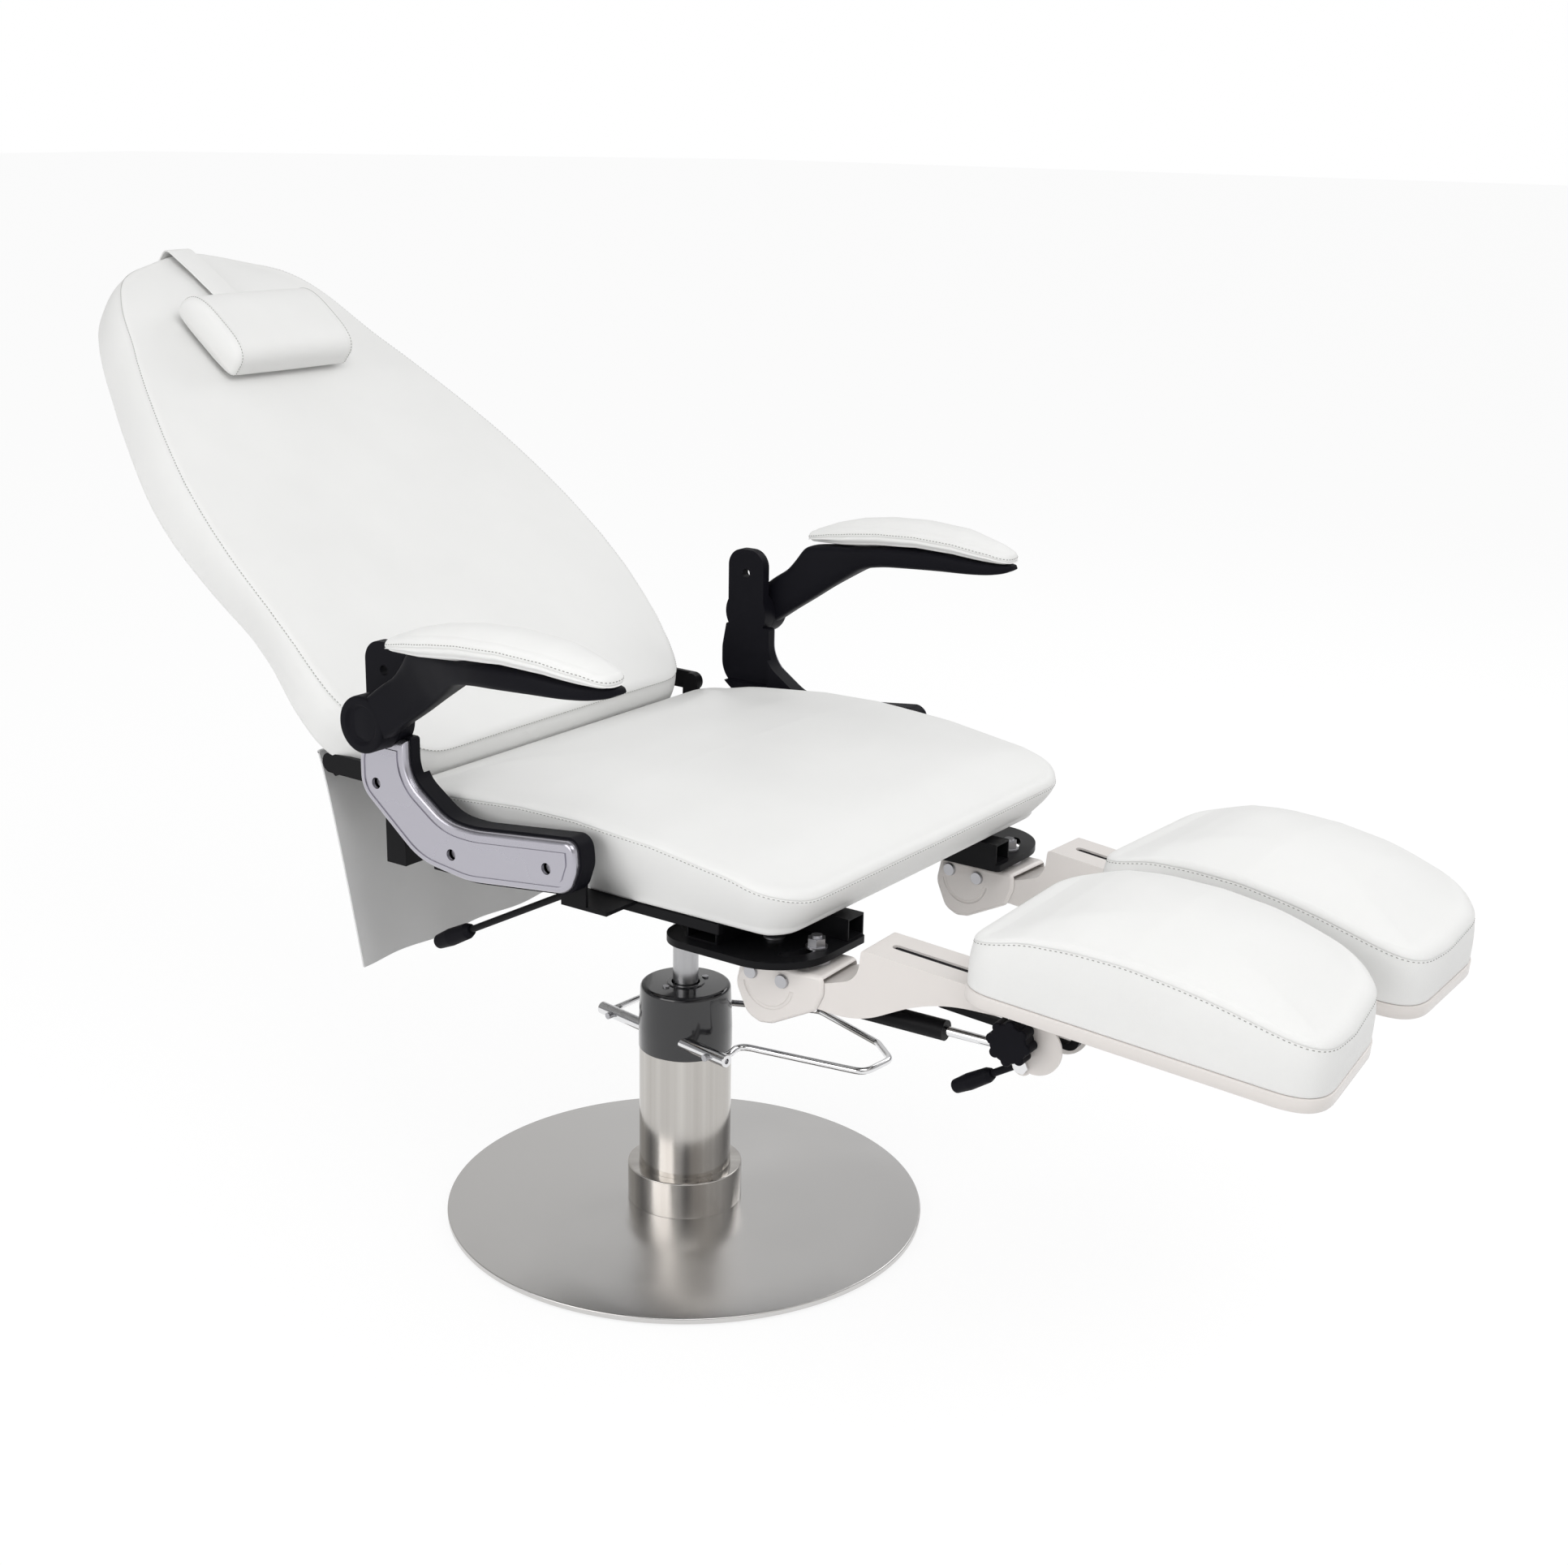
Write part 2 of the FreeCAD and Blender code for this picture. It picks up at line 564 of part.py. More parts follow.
def make_pump():
    low = d.base_rim + d.base_rise - d.base_skin
    pump = turned_body("pump_cylinder_body", [
        (0, low, 0),
        (d.pump_radius, low, 0),
        (d.pump_radius, d.pump_top, d.collar_bevel),
        (d.rod_radius + d.running_gap, d.pump_top, 0),
        (d.rod_radius + d.running_gap, d.pump_top - d.pump_gland, 0),
        (d.pump_bore, d.pump_top - d.pump_gland, 0),
        (d.pump_bore, low + d.pump_floor, 0),
        (0, low + d.pump_floor, 0),
    ])
    node(pump, "pump_cylinder")
    top = d.sleeve_top + d.cap_height
    small = d.cap_radius - d.cap_taper
    hole = d.rod_radius + d.cap_bore_gap
    shell = turned_body("pump_cap_shell", [
        (d.cap_radius - d.cap_wall, d.sleeve_top, 0),
        (d.cap_radius, d.sleeve_top, 0),
        (d.cap_radius, d.sleeve_top + d.cap_height / 3, 0),
        (small, top, d.cap_round),
        (hole, top, 0),
        (hole, top - d.cap_wall, 0),
        (small - d.cap_wall, top - d.cap_wall, 0),
        (d.cap_radius - d.cap_wall, d.sleeve_top + d.cap_height / 3, 0),
    ])
    bore = feature("shaft_bore", bar(d.shaft_radius + d.fit_gap, 2 * d.shaft_half, Vector(
        -d.shaft_half, -d.pedal_offset, d.pedal_height), X_AXIS))
    node(cut("pump_cap_cut", shell, moved(bore, pedal_place())), "pump_cap")
    heads = []
    for turn in (0, 180):
        angle = math.radians(d.cap_screw_turn + turn)
        spot = Vector(math.cos(angle), math.sin(angle), 0) * d.cap_screw_pitch
        spot.z = top
        heads.append(bar(d.cap_screw_radius, d.cap_screw_height, spot, Z_AXIS))
    node(group("cap_screw_heads", heads), "cap_screws")


PEDAL_SHARES = ((0.36, 0.226), (1.0, 0.508), (0.984, 0.769), (0.8, 0.892), (0.32, 1.0),
                (-0.424, 0.349))


def make_pedal():
    end = d.shaft_half - d.wire_inset
    y = -d.pedal_offset
    shaft = bar(d.shaft_radius, 2 * d.shaft_half,
                Vector(-d.shaft_half, y, d.pedal_height), X_AXIS)
    start = y - d.shaft_radius / 2
    points = [Vector(end, start, d.pedal_height),
              Vector(end, y + 2 * d.shaft_radius, d.pedal_height)]
    points += [Vector(d.pedal_reach * along, y + d.pedal_width * out, d.pedal_height)
               for along, out in PEDAL_SHARES]
    points += [Vector(-end, y + 2 * d.shaft_radius, d.pedal_height),
               Vector(-end, start, d.pedal_height)]
    loop = bent_rod(points, d.pedal_bend, d.wire_radius)
    for sign in (1, -1):
        hole = bar(d.wire_radius + d.running_gap, 2 * d.shaft_radius + 2 * d.overrun,
                   Vector(sign * end, start, d.pedal_height), Y_AXIS)
        tap = bar(d.shaft_hole, d.shaft_hole_depth,
                  Vector(sign * (d.shaft_half - d.shaft_hole_depth), y, d.pedal_height)
                  if sign > 0 else Vector(-d.shaft_half, y, d.pedal_height), X_AXIS)
        shaft = shaft.cut(hole)
        shaft = shaft.cut(tap.cut(bar(d.shaft_radius, 2 * d.shaft_radius,
                                      Vector(sign * end, start, d.pedal_height), Y_AXIS)))
    screws = []
    for sign in (1, -1):
        spot = Vector(sign * (end - 3 * d.screw_radius), y - d.shaft_radius, d.pedal_height)
        screws.append(bar(d.screw_radius, d.screw_height, spot, Vector(0, -1, 0)))
    for label, shapes in (("pedal_crossbar", [shaft]), ("pedal_loop", [loop]),
                          ("pedal_screws", screws)):
        node(moved(group(label + "_shape", shapes), pedal_place()), label)


def make_piston():
    length = "rod_top - rod_bottom - piston_height"
    lift = rod("lift_rod_bar", "rod_radius", length, z="rod_bottom + piston_height")
    node(lift, "lift_rod")
    head = rod("piston_head_disc", "pump_bore - fit_gap", "piston_height", z="rod_bottom")
    node(head, "piston_head")


# Seat frame: hub and flange, rails, cross tubes, swivel plates, straps

def hollow(name, size, wall, x, y, z, along):
    """A rectangular tube along X or Y."""
    full = block(name + "_out", size, x, y, z)
    if along == "X":
        inner = (size[0] + " + 2 * overrun", "%s - 2 * %s" % (size[1], wall),
                 "%s - 2 * %s" % (size[2], wall))
        hole = block(name + "_in", inner, x + " - overrun", "%s + %s" % (y, wall),
                     "%s + %s" % (z, wall))
    else:
        inner = ("%s - 2 * %s" % (size[0], wall), size[1] + " + 2 * overrun",
                 "%s - 2 * %s" % (size[2], wall))
        hole = block(name + "_in", inner, "%s + %s" % (x, wall), y + " - overrun",
                     "%s + %s" % (z, wall))
    return cut(name, full, hole)


def make_seat_frame():
    hub = rod("hub_bar", "socket_radius", "frame_low - plate_height - socket_low",
              z="socket_low")
    flange = block("hub_flange", ("2 * flange_half",
                                  "2 * rail_offset + rail_width", "plate_height"),
                   "-flange_half", "-rail_offset - rail_width / 2", "frame_low - plate_height")
    bore = rod("hub_bore", "rod_radius + running_gap", "rod_top - socket_low + fit_gap",
               z="socket_low")
    node(cut("rod_socket_cut", fuse("hub_fuse", hub, flange), bore), "rod_socket")
    rails = []
    for name, sign in SIDES:
        rail = hollow(
            "rail_" + name,
            ("rail_front - rail_rear", "rail_width", "rail_height"), "rail_wall",
            "rail_rear", "%d * rail_offset - rail_width / 2" % sign, "frame_low", "X")
        if sign < 0:
            hole = rod("lever_hole", "lever_shaft + running_gap", "rail_width + 2 * overrun",
                       "lever_x", "-rail_offset - rail_width / 2 - overrun", "lever_z", "Y")
            rail = cut("rail_right_bored", rail, hole)
        rails.append(rail)
    pair = doc.addObject("Part::Compound", "rail_pair")
    pair.Links = rails
    node(pair, "seat_rails")
    tubes = []
    half = d.rail_width / 2
    wall = d.rail_wall
    spans = [(-d.rail_offset + half, d.rail_offset - half),
             (d.rail_offset + half, d.cross_half),
             (-d.cross_half, -d.rail_offset - half)]
    for start, end in spans:
        tubes.append(tube_y(d.cross_middle - d.cross_depth / 2, start, d.frame_low,
                            d.cross_depth, end - start, d.cross_height, wall))
    outer = d.hinge_inner
    for start, end in ((d.rail_offset + half, outer), (-outer, -d.rail_offset - half)):
        tubes.append(tube_y(d.rail_rear, start, d.frame_low, d.rail_width,
                            end - start, d.rail_height, wall))
    node(group("cross_tube_group", tubes), "cross_tubes")
    plates = [swivel_plate(sign) for name, sign in SIDES]
    node(group("swivel_plate_pair", plates), "swivel_plates")


def tube_y(x, y, z, depth, length, height, wall):
    """A rectangular tube across the chair."""
    outer = Part.makeBox(depth, length, height, Vector(x, y, z))
    inner = Part.makeBox(depth - 2 * wall, length + 2 * d.overrun, height - 2 * wall,
                         Vector(x + wall, y - d.overrun, z + wall))
    return outer.cut(inner)


def swivel_plate(sign):
    """A plate with one round corner and a slot curved about the swing pivot."""
    top = d.swing_y + d.plate_round
    outline = [
        (d.plate_rear, d.plate_inner, 0),
        (d.swing_x + d.plate_round, d.plate_inner, d.overrun),
        (d.swing_x + d.plate_round, top, d.plate_round),
        (d.plate_rear, top, d.plate_round / 2),
    ]
    plate = prism(outline, d.plate_height)
    inner = d.slot_radius - d.bolt_radius - d.fit_gap
    outer = d.slot_radius + d.bolt_radius + d.fit_gap
    start = -d.slot_back - d.leg_toe
    sweep = d.slot_back + d.slot_sweep
    ring = Part.makeCylinder(outer, d.plate_height, Vector(d.swing_x, d.swing_y, 0),
                             Z_AXIS, sweep)
    ring = ring.cut(Part.makeCylinder(inner, d.plate_height,
                                      Vector(d.swing_x, d.swing_y, 0), Z_AXIS, 360))
    ring.rotate(Vector(d.swing_x, d.swing_y, 0), Z_AXIS, start)
    plate = plate.cut(ring)
    for angle in (start, start + sweep):
        turn = math.radians(angle)
        spot = Vector(d.swing_x + d.slot_radius * math.cos(turn),
                      d.swing_y + d.slot_radius * math.sin(turn), 0)
        plate = plate.cut(bar(d.bolt_radius + d.fit_gap, d.plate_height, spot, Z_AXIS))
    pivot = bar(d.bolt_radius + d.running_gap, d.plate_height,
                Vector(d.swing_x, d.swing_y, 0), Z_AXIS)
    plate = plate.cut(pivot)
    plate.translate(Vector(0, 0, d.frame_low - d.plate_height))
    if sign < 0:
        plate = plate.mirror(ORIGIN, Y_AXIS)
    return plate


def make_straps():
    """Flat bars on the rails that carry the arm supports, bent up at their ends."""
    straps = []
    top = d.frame_low + d.rail_height
    inner = d.rail_offset - d.rail_width / 2
    for front, width in ((d.strap_front, d.strap_width),
                         (d.strap_rear + d.strap_rear_width, d.strap_rear_width)):
        for name, sign in SIDES:
            flat = Part.makeBox(width, d.strap_reach - inner, d.strap_height,
                                Vector(front - width, inner, top))
            rise = Part.makeBox(width * 0.55, d.strap_height, d.strap_rise,
                                Vector(front - width, d.strap_reach - d.strap_height, top))
            strap = flat.fuse(rise).removeSplitter()
            straps.append(strap if sign > 0 else strap.mirror(ORIGIN, Y_AXIS))
    node(group("strap_group", straps), "armrest_brackets")


def make_hinge_uprights():
    """Plates on the ends of the rear tubes that carry the recline pins."""
    plates = []
    width = d.hinge_width
    for name, sign in SIDES:
        start = d.hinge_inner
        outline = [
            (d.rail_rear, d.frame_low, 0),
            (d.rail_rear + d.rail_width, d.frame_low, 0),
            (d.rail_rear + d.rail_width, d.frame_low + d.rail_height, width / 3),
            (d.hinge_x + width / 2, d.frame_low + d.rail_height + width, width / 3),
            (d.hinge_x + width / 2, d.hinge_z + width / 2, width * 0.48),
            (d.hinge_x - width / 2, d.hinge_z + width / 2, width * 0.48),
            (d.rail_rear, d.frame_low + d.rail_height + width, width / 3),
        ]
        plate = side_prism(outline, start, start + d.hinge_plate)
        pin = disc(d.hinge_radius, start + d.hinge_plate, start + 2 * d.hinge_plate
                   + d.ear_gap, d.hinge_x, d.hinge_z)
        plate = plate.fuse(pin)
        plates.append(plate if sign > 0 else plate.mirror(ORIGIN, Y_AXIS))
    node(group("hinge_upright_pair", plates), "hinge_uprights")


# Arm supports: a curved band of black plastic with a silver cover on it

SUPPORT_SHARES = (
    (0.02, 1.0, 0.02), (0.0, 0.78, 0.3), (0.0, 0.53, 0.5), (0.278, 0.06, 0.6),
    (0.51, 0.0, 0.8), (0.963, 0.114, 0.16), (1.0, 0.34, 0.2), (0.99, 0.557, 0.14),
    (0.528, 0.443, 1.0), (0.4125, 0.456, 0.6), (0.24, 0.711, 0.4), (0.24, 1.0, 0.02),
)
COVER_HOLE_SHARES = ((0.09, 0.61), (0.4375, 0.2), (0.866, 0.29))


def support_outline(inset):
    """The band's outline, drawn in on every side."""
    wire = Part.Wire([piece.toShape() for piece in rounded(shared(
        SUPPORT_SHARES, d.support_rear, d.support_run, d.support_low, d.support_rise,
        d.support_rise))])
    return wire.makeOffset2D(-inset) if inset else wire


def band(inset, start, end):
    wire = support_outline(inset).copy()
    wire.rotate(ORIGIN, X_AXIS, 90)
    solid = Part.Face(wire).extrude(Vector(0, end - start, 0))
    solid.translate(Vector(0, start - solid.BoundBox.YMin, 0))
    return solid


def hole_spots():
    return [(d.support_rear + d.support_run * along, d.support_low + d.support_rise * up)
            for along, up in COVER_HOLE_SHARES]


def make_arm_supports():
    supports = []
    covers = []
    bolts = []
    top_x = d.arm_pivot_x
    for name, sign in SIDES:
        body = band(0, d.strap_reach, d.support_outer)
        thin = Part.makeBox(d.support_run * 0.27, d.tab_inner - d.strap_reach + d.overrun,
                            d.support_rise, Vector(
                                d.support_rear - d.overrun, d.strap_reach - d.overrun,
                                d.support_low + d.support_rise * 0.48))
        body = body.cut(thin)
        drum = disc(d.drum_radius, d.tab_inner, d.cover_outer, top_x, d.arm_pivot_z)
        tab = side_prism([
            (top_x - d.tab_width / 2, d.arm_pivot_z - d.drum_radius / 2, 0),
            (top_x + d.tab_width / 2, d.arm_pivot_z - d.drum_radius / 2, 0),
            (top_x + d.tab_width / 2, d.tab_top, d.tab_width * 0.4),
            (top_x - d.tab_width / 2, d.tab_top, d.tab_width * 0.4),
        ], d.tab_inner, d.support_outer)
        hole = disc(d.tab_hole, d.tab_inner - d.overrun, d.support_outer + d.overrun,
                    top_x, d.tab_top - d.tab_hole_drop)
        pin = disc(d.pivot_radius, d.cover_outer, d.drum_outer - d.cover_wall,
                   top_x, d.arm_pivot_z)
        support = body.fuse([drum, tab, pin]).cut(hole)
        for x, z in hole_spots():
            support = support.cut(disc(d.cover_hole, d.support_outer - d.overrun,
                                       d.support_outer + d.overrun, x, z))
        cover = cover_shape()
        supports.append(support.removeSplitter())
        covers.append(cover)
        for x, z in hole_spots():
            bolts.append(disc(d.cover_bolt, d.support_outer - d.overrun,
                              d.support_outer + d.cover_wall, x, z))
        if sign < 0:
            supports[-1] = supports[-1].mirror(ORIGIN, Y_AXIS)
            covers[-1] = covers[-1].mirror(ORIGIN, Y_AXIS)
            bolts[-3:] = [bolt.mirror(ORIGIN, Y_AXIS) for bolt in bolts[-3:]]
    node(group("arm_support_pair", supports), "arm_supports")
    node(group("arm_cover_pair", covers), "arm_covers")
    node(group("cover_bolt_group", bolts), "cover_bolts")


def cover_shape():
    """A pressed cover: rounded rim, a raised rib along its middle and three holes."""
    start = d.support_outer
    end = d.cover_outer
    outer = band(d.cover_inset, start, end)
    rim = [edge for edge in outer.Edges
           if abs(edge.BoundBox.YMin - end) < 1e-3 and abs(edge.BoundBox.YMax - end) < 1e-3]
    outer = outer.makeFillet(d.cover_round, rim)
    groove = band(d.cover_inset + 3 * d.cover_wall, end - d.cover_wall / 2, end + d.overrun)
    ridge = band(d.cover_inset + 5 * d.cover_wall, end - d.cover_wall, end)
    outer = outer.cut(groove.cut(ridge))
    inner = band(d.cover_inset + d.cover_wall, start, end - 1.6 * d.cover_wall)
    cover = outer.cut(inner)
    cover = cover.cut(disc(d.drum_radius + d.fit_gap, start - d.overrun, end + d.overrun,
                           d.arm_pivot_x, d.arm_pivot_z))
    for x, z in hole_spots():
        cover = cover.cut(disc(d.cover_hole, start - d.overrun, end + d.overrun, x, z))
    return cover


# Arm rests: a moulded shell that flips up about the drum, with a pad on it

ARM_NECK_SHARES = (
    (0.055, 0.0, 0.0), (0.227, 0.3, 0.05), (0.347, 0.49, 0.05), (0.487, 0.69, 0.1),
    (0.587, 0.76, 0.1), (0.587, 0.94, 0.0), (0.247, 0.9, 0.0), (0.222, 0.83, 0.05),
    (0.142, 0.63, 0.15), (0.067, 0.53, 0.1), (0.0, 0.43, 0.0),
)
ARM_BEAM_SHARES = (
    (0.0, 0.87, 0.0), (0.2, 0.77, 0.1), (0.4, 0.77, 0.3), (0.7, 0.79, 0.3),
    (0.9, 0.81, 0.15), (1.01, 0.93, 0.05), (1.01, 1.01, 0.0), (0.0, 1.01, 0.0),
)
ARM_PLAN_SHARES = (
    (0.0, -0.36, 0.2), (0.3, -0.48, 0.6), (0.8, -0.5, 0.6), (1.0, -0.3, 0.2),
    (1.0, 0.16, 0.24), (0.75, 0.42, 0.6), (0.3, 0.46, 0.6), (0.0, 0.36, 0.2),
)


def arm_plan():
    """The arm rest's outline from above: narrow at the rear, full in front."""
    return [(d.arm_rear + d.arm_run * along, d.arm_width * out, d.arm_width * radius)
            for along, out, radius in ARM_PLAN_SHARES]


def make_armrests():
    run = d.arm_run
    start = d.cover_outer + d.fit_gap
    for name, sign in SIDES:
        neck = side_prism(shared(ARM_NECK_SHARES, d.arm_pivot_x, run, d.arm_low, d.arm_rise,
                                 d.arm_rise), start, d.drum_outer)
        drum = disc(d.drum_radius, start, d.drum_outer, d.arm_pivot_x, d.arm_pivot_z)
        beam = side_prism(shared(ARM_BEAM_SHARES, d.arm_rear, run, d.arm_low, d.arm_rise,
                                 d.arm_rise),
                          d.arm_middle - d.arm_width, d.arm_middle + d.arm_width)
        plan = prism([(x, y * 0.93, r) for x, y, r in arm_plan()], 2 * d.arm_rise)
        plan.translate(Vector(0, d.arm_middle, d.arm_low - d.arm_rise / 2))
        shell = neck.fuse([drum, beam.common(plan)])
        bore = disc(d.pivot_radius + d.running_gap, start,
                    d.drum_outer - d.cover_wall + d.fit_gap, d.arm_pivot_x, d.arm_pivot_z)
        pad = arm_pad()
        above = Part.makeBox(2 * run, 2 * d.arm_width, d.arm_rise,
                             Vector(d.arm_rear - run / 2, d.arm_middle - d.arm_width,
                                    d.arm_top + d.arm_thick * 0.36))
        shell = shell.cut(bore).cut(pad.fuse(above)).removeSplitter()
        shell = largest(shell)
        if sign < 0:
            shell = shell.mirror(ORIGIN, Y_AXIS)
            pad = pad.mirror(ORIGIN, Y_AXIS)
        node(feature(name + "_arm_shell_shape", shell), name + "_arm_shell")
        node(feature(name + "_arm_pad_shape", pad), name + "_arm_pad")


def largest(shape):
    """The largest solid of a shape, without the slivers that a cut can leave."""
    return max(shape.Solids, key=lambda solid: solid.Volume)


ARM_PAD_STATIONS = (
    (0.0, 0.2, 0.0, 0.16), (0.03, 0.27, 0.0, 0.34), (0.13, 0.37, 0.07, 0.62),
    (0.25, 0.44, 0.13, 0.82), (0.39, 0.485, 0.23, 0.95), (0.57, 0.5, 0.32, 0.98),
    (0.75, 0.46, 0.28, 0.9), (0.9, 0.33, 0.17, 0.64), (0.97, 0.22, 0.12, 0.4),
    (1.0, 0.12, 0.1, 0.22),
)


def arm_pad():
    """The padded rest: thick in its middle, on a curved underside."""
    wires = []
    for along, width, low, high in ARM_PAD_STATIONS:
        spot = Vector(d.arm_rear + d.arm_run * along, d.arm_middle,
                      d.arm_top + d.arm_thick * low)
        crown = d.arm_thick * (high - low)
        wires.append(small_section(spot, Y_AXIS, Z_AXIS, d.arm_width * width,
                                   crown * 0.62, crown))
    return Part.makeLoft(wires, True, False)


def small_section(place, across, up, half, edge, crown):
    """A small pad's section: flat foot, bulging sides and a crowned top."""

    def at(width, height):
        return place + across * width + up * height

    foot = half * 0.9
    shoulder = half * 0.82
    return Part.Wire([
        Part.LineSegment(at(-foot, 0), at(foot, 0)).toShape(),
        Part.Arc(at(foot, 0), at(half, edge * 0.55), at(shoulder, edge)).toShape(),
        Part.Arc(at(shoulder, edge), at(0, crown), at(-shoulder, edge)).toShape(),
        Part.Arc(at(-shoulder, edge), at(-half, edge * 0.55), at(-foot, 0)).toShape(),
    ])


# Seat and back: boards and cushions

CORNER_TURNS = (0, 22, 45, 68, 90)
MIDDLE_SHARES = (0.22, 0.36, 0.5, 0.64, 0.78)


def corner_stations(start, length, corner_rear, corner_front):
    """Places along a cushion, and how far its side draws in at round corners."""
    places = []
    for turn in CORNER_TURNS:
        angle = math.radians(turn)
        places.append((start + corner_rear * (1 - math.cos(angle)),
                       corner_rear * (1 - math.sin(angle))))
    for share in MIDDLE_SHARES:
        places.append((start + length * share, 0))
    for turn in reversed(CORNER_TURNS):
        angle = math.radians(turn)
        places.append((start + length - corner_front * (1 - math.cos(angle)),
                       corner_front * (1 - math.sin(angle))))
    return places


SEAT_EDGE_SHARES = ((0.0, 0.52), (0.07, 0.57), (0.18, 0.76), (0.37, 0.98), (0.52, 1.0),
                    (0.7, 0.83), (0.88, 0.48), (0.955, 0.19), (1.0, 0.0))


def make_seat():
    length = d.seat_front - d.seat_rear
    wires = []
    for x, inset in corner_stations(d.seat_rear, length, d.seat_corner * 0.8,
                                    d.seat_corner):
        share = (x - d.seat_rear) / length
        rise = between(SEAT_EDGE_SHARES, share)
        edge = d.seat_edge_front + (d.seat_edge_high - d.seat_edge_front) * rise
        lean = d.seat_lip * max(0, share - 0.5) * 2
        up = Vector(lean, 0, edge - d.seat_low).normalize()
        rise = (edge - d.seat_low) / up.z
        crown = rise + d.seat_crown * min(1, 3 * (1 - share) + 0.3) * min(1, 4 * share + 0.2)
        wires.append(cushion_section(
            Vector(x, 0, d.seat_low), Y_AXIS, up, d.seat_half_low - inset,
            d.seat_half_edge - inset, 0, rise, crown))
    solid = Part.makeLoft(wires, True, False)
    inset = d.board_inset
    plan = [
        (d.seat_rear + inset, -d.seat_half_low + inset, d.seat_corner * 0.6),
        (d.seat_front - inset, -d.seat_half_low + inset, d.seat_corner * 0.8),
        (d.seat_front - inset, d.seat_half_low - inset, d.seat_corner * 0.8),
        (d.seat_rear + inset, d.seat_half_low - inset, d.seat_corner * 0.6),
    ]
    board = padded_body("seat_board_body", plan, "board_height")
    put(board, z="seat_low")
    pocket = prism(plan, d.board_height + d.overrun)
    pocket.translate(Vector(0, 0, d.seat_low - d.overrun))
    node(board, "seat_board")
    node(feature("seat_cushion_shape", solid.cut(pocket)), "seat_cushion")


def back_place():
    """From the backrest's own axes, X up its face and Z out of it, to the chair's."""
    up = math.radians(d.back_angle)
    along = Vector(-math.cos(up), 0, math.sin(up))
    out = Vector(math.sin(up), 0, math.cos(up))
    turn = Rotation(along, Vector(0, -1, 0), out, "XYZ")
    return Placement(Vector(d.back_foot_x, 0, d.back_foot_z), turn)


def back_point(along, depth):
    """A point of the chair from a place up the backrest and a depth below its face."""
    return back_place().multVec(Vector(along, 0, -depth))


BACK_SHARES = (
    (-0.022, 0.76, 0.5), (0.0, 0.815, 0.6), (0.035, 0.885, 0.8), (0.08, 0.955, 1.0),
    (0.13, 0.988, 1.0), (0.2, 1.0, 0.8), (0.28, 1.0, 0.55), (0.37, 0.993, 0.5),
    (0.45, 0.967, 0.5), (0.53, 0.925, 0.5), (0.62, 0.85, 0.5), (0.72, 0.75, 0.5),
    (0.81, 0.645, 0.5), (0.87, 0.595, 0.55), (0.915, 0.53, 0.6), (0.95, 0.455, 0.7),
    (0.98, 0.32, 0.85), (1.0, 0.14, 1.0),
)


def make_back():
    wires = []
    for along, width, drop in BACK_SHARES:
        place = d.back_length * along
        half = d.back_half * width
        near_end = min(1, (place - d.back_length * BACK_SHARES[0][0])
                       / d.back_foot_round)
        near_top = min(1, (d.back_length - place) / (1.6 * d.back_foot_round))
        ease = math.sqrt(max(0, 1 - (1 - near_end) ** 2))
        tops = math.sqrt(max(0, 1 - (1 - near_top) ** 2))
        hollow_foot = -d.back_depth + d.back_depth * 0.28 * (1 - ease)
        crown = -d.back_depth * 0.06 * (1 - ease) - d.back_depth * 0.2 * (1 - tops)
        edge = crown - d.back_side * drop
        wires.append(cushion_section(
            Vector(place, 0, 0), Y_AXIS, Z_AXIS, half - d.cushion_foot, half,
            hollow_foot, edge, crown))
    solid = Part.makeLoft(wires, True, False)
    inset = 2.5 * d.board_inset
    plan = []
    for along, width, drop in BACK_SHARES[3:-2:2]:
        plan.append((d.back_length * along, d.back_half * width - inset, inset))
    outline = plan + [(x, -y, r) for x, y, r in reversed(plan)]
    board = padded_body("back_board_body", outline, "board_height")
    board.Placement = back_place().multiply(
        Placement(Vector(0, 0, -d.back_depth), Rotation()))
    pocket = prism(outline, d.board_height + d.overrun)
    pocket.translate(Vector(0, 0, -d.back_depth - d.overrun))
    cushion = feature("back_cushion_shape", solid.cut(pocket))
    node(board, "back_board")
    node(moved(cushion, back_place()), "back_cushion")
    return solid


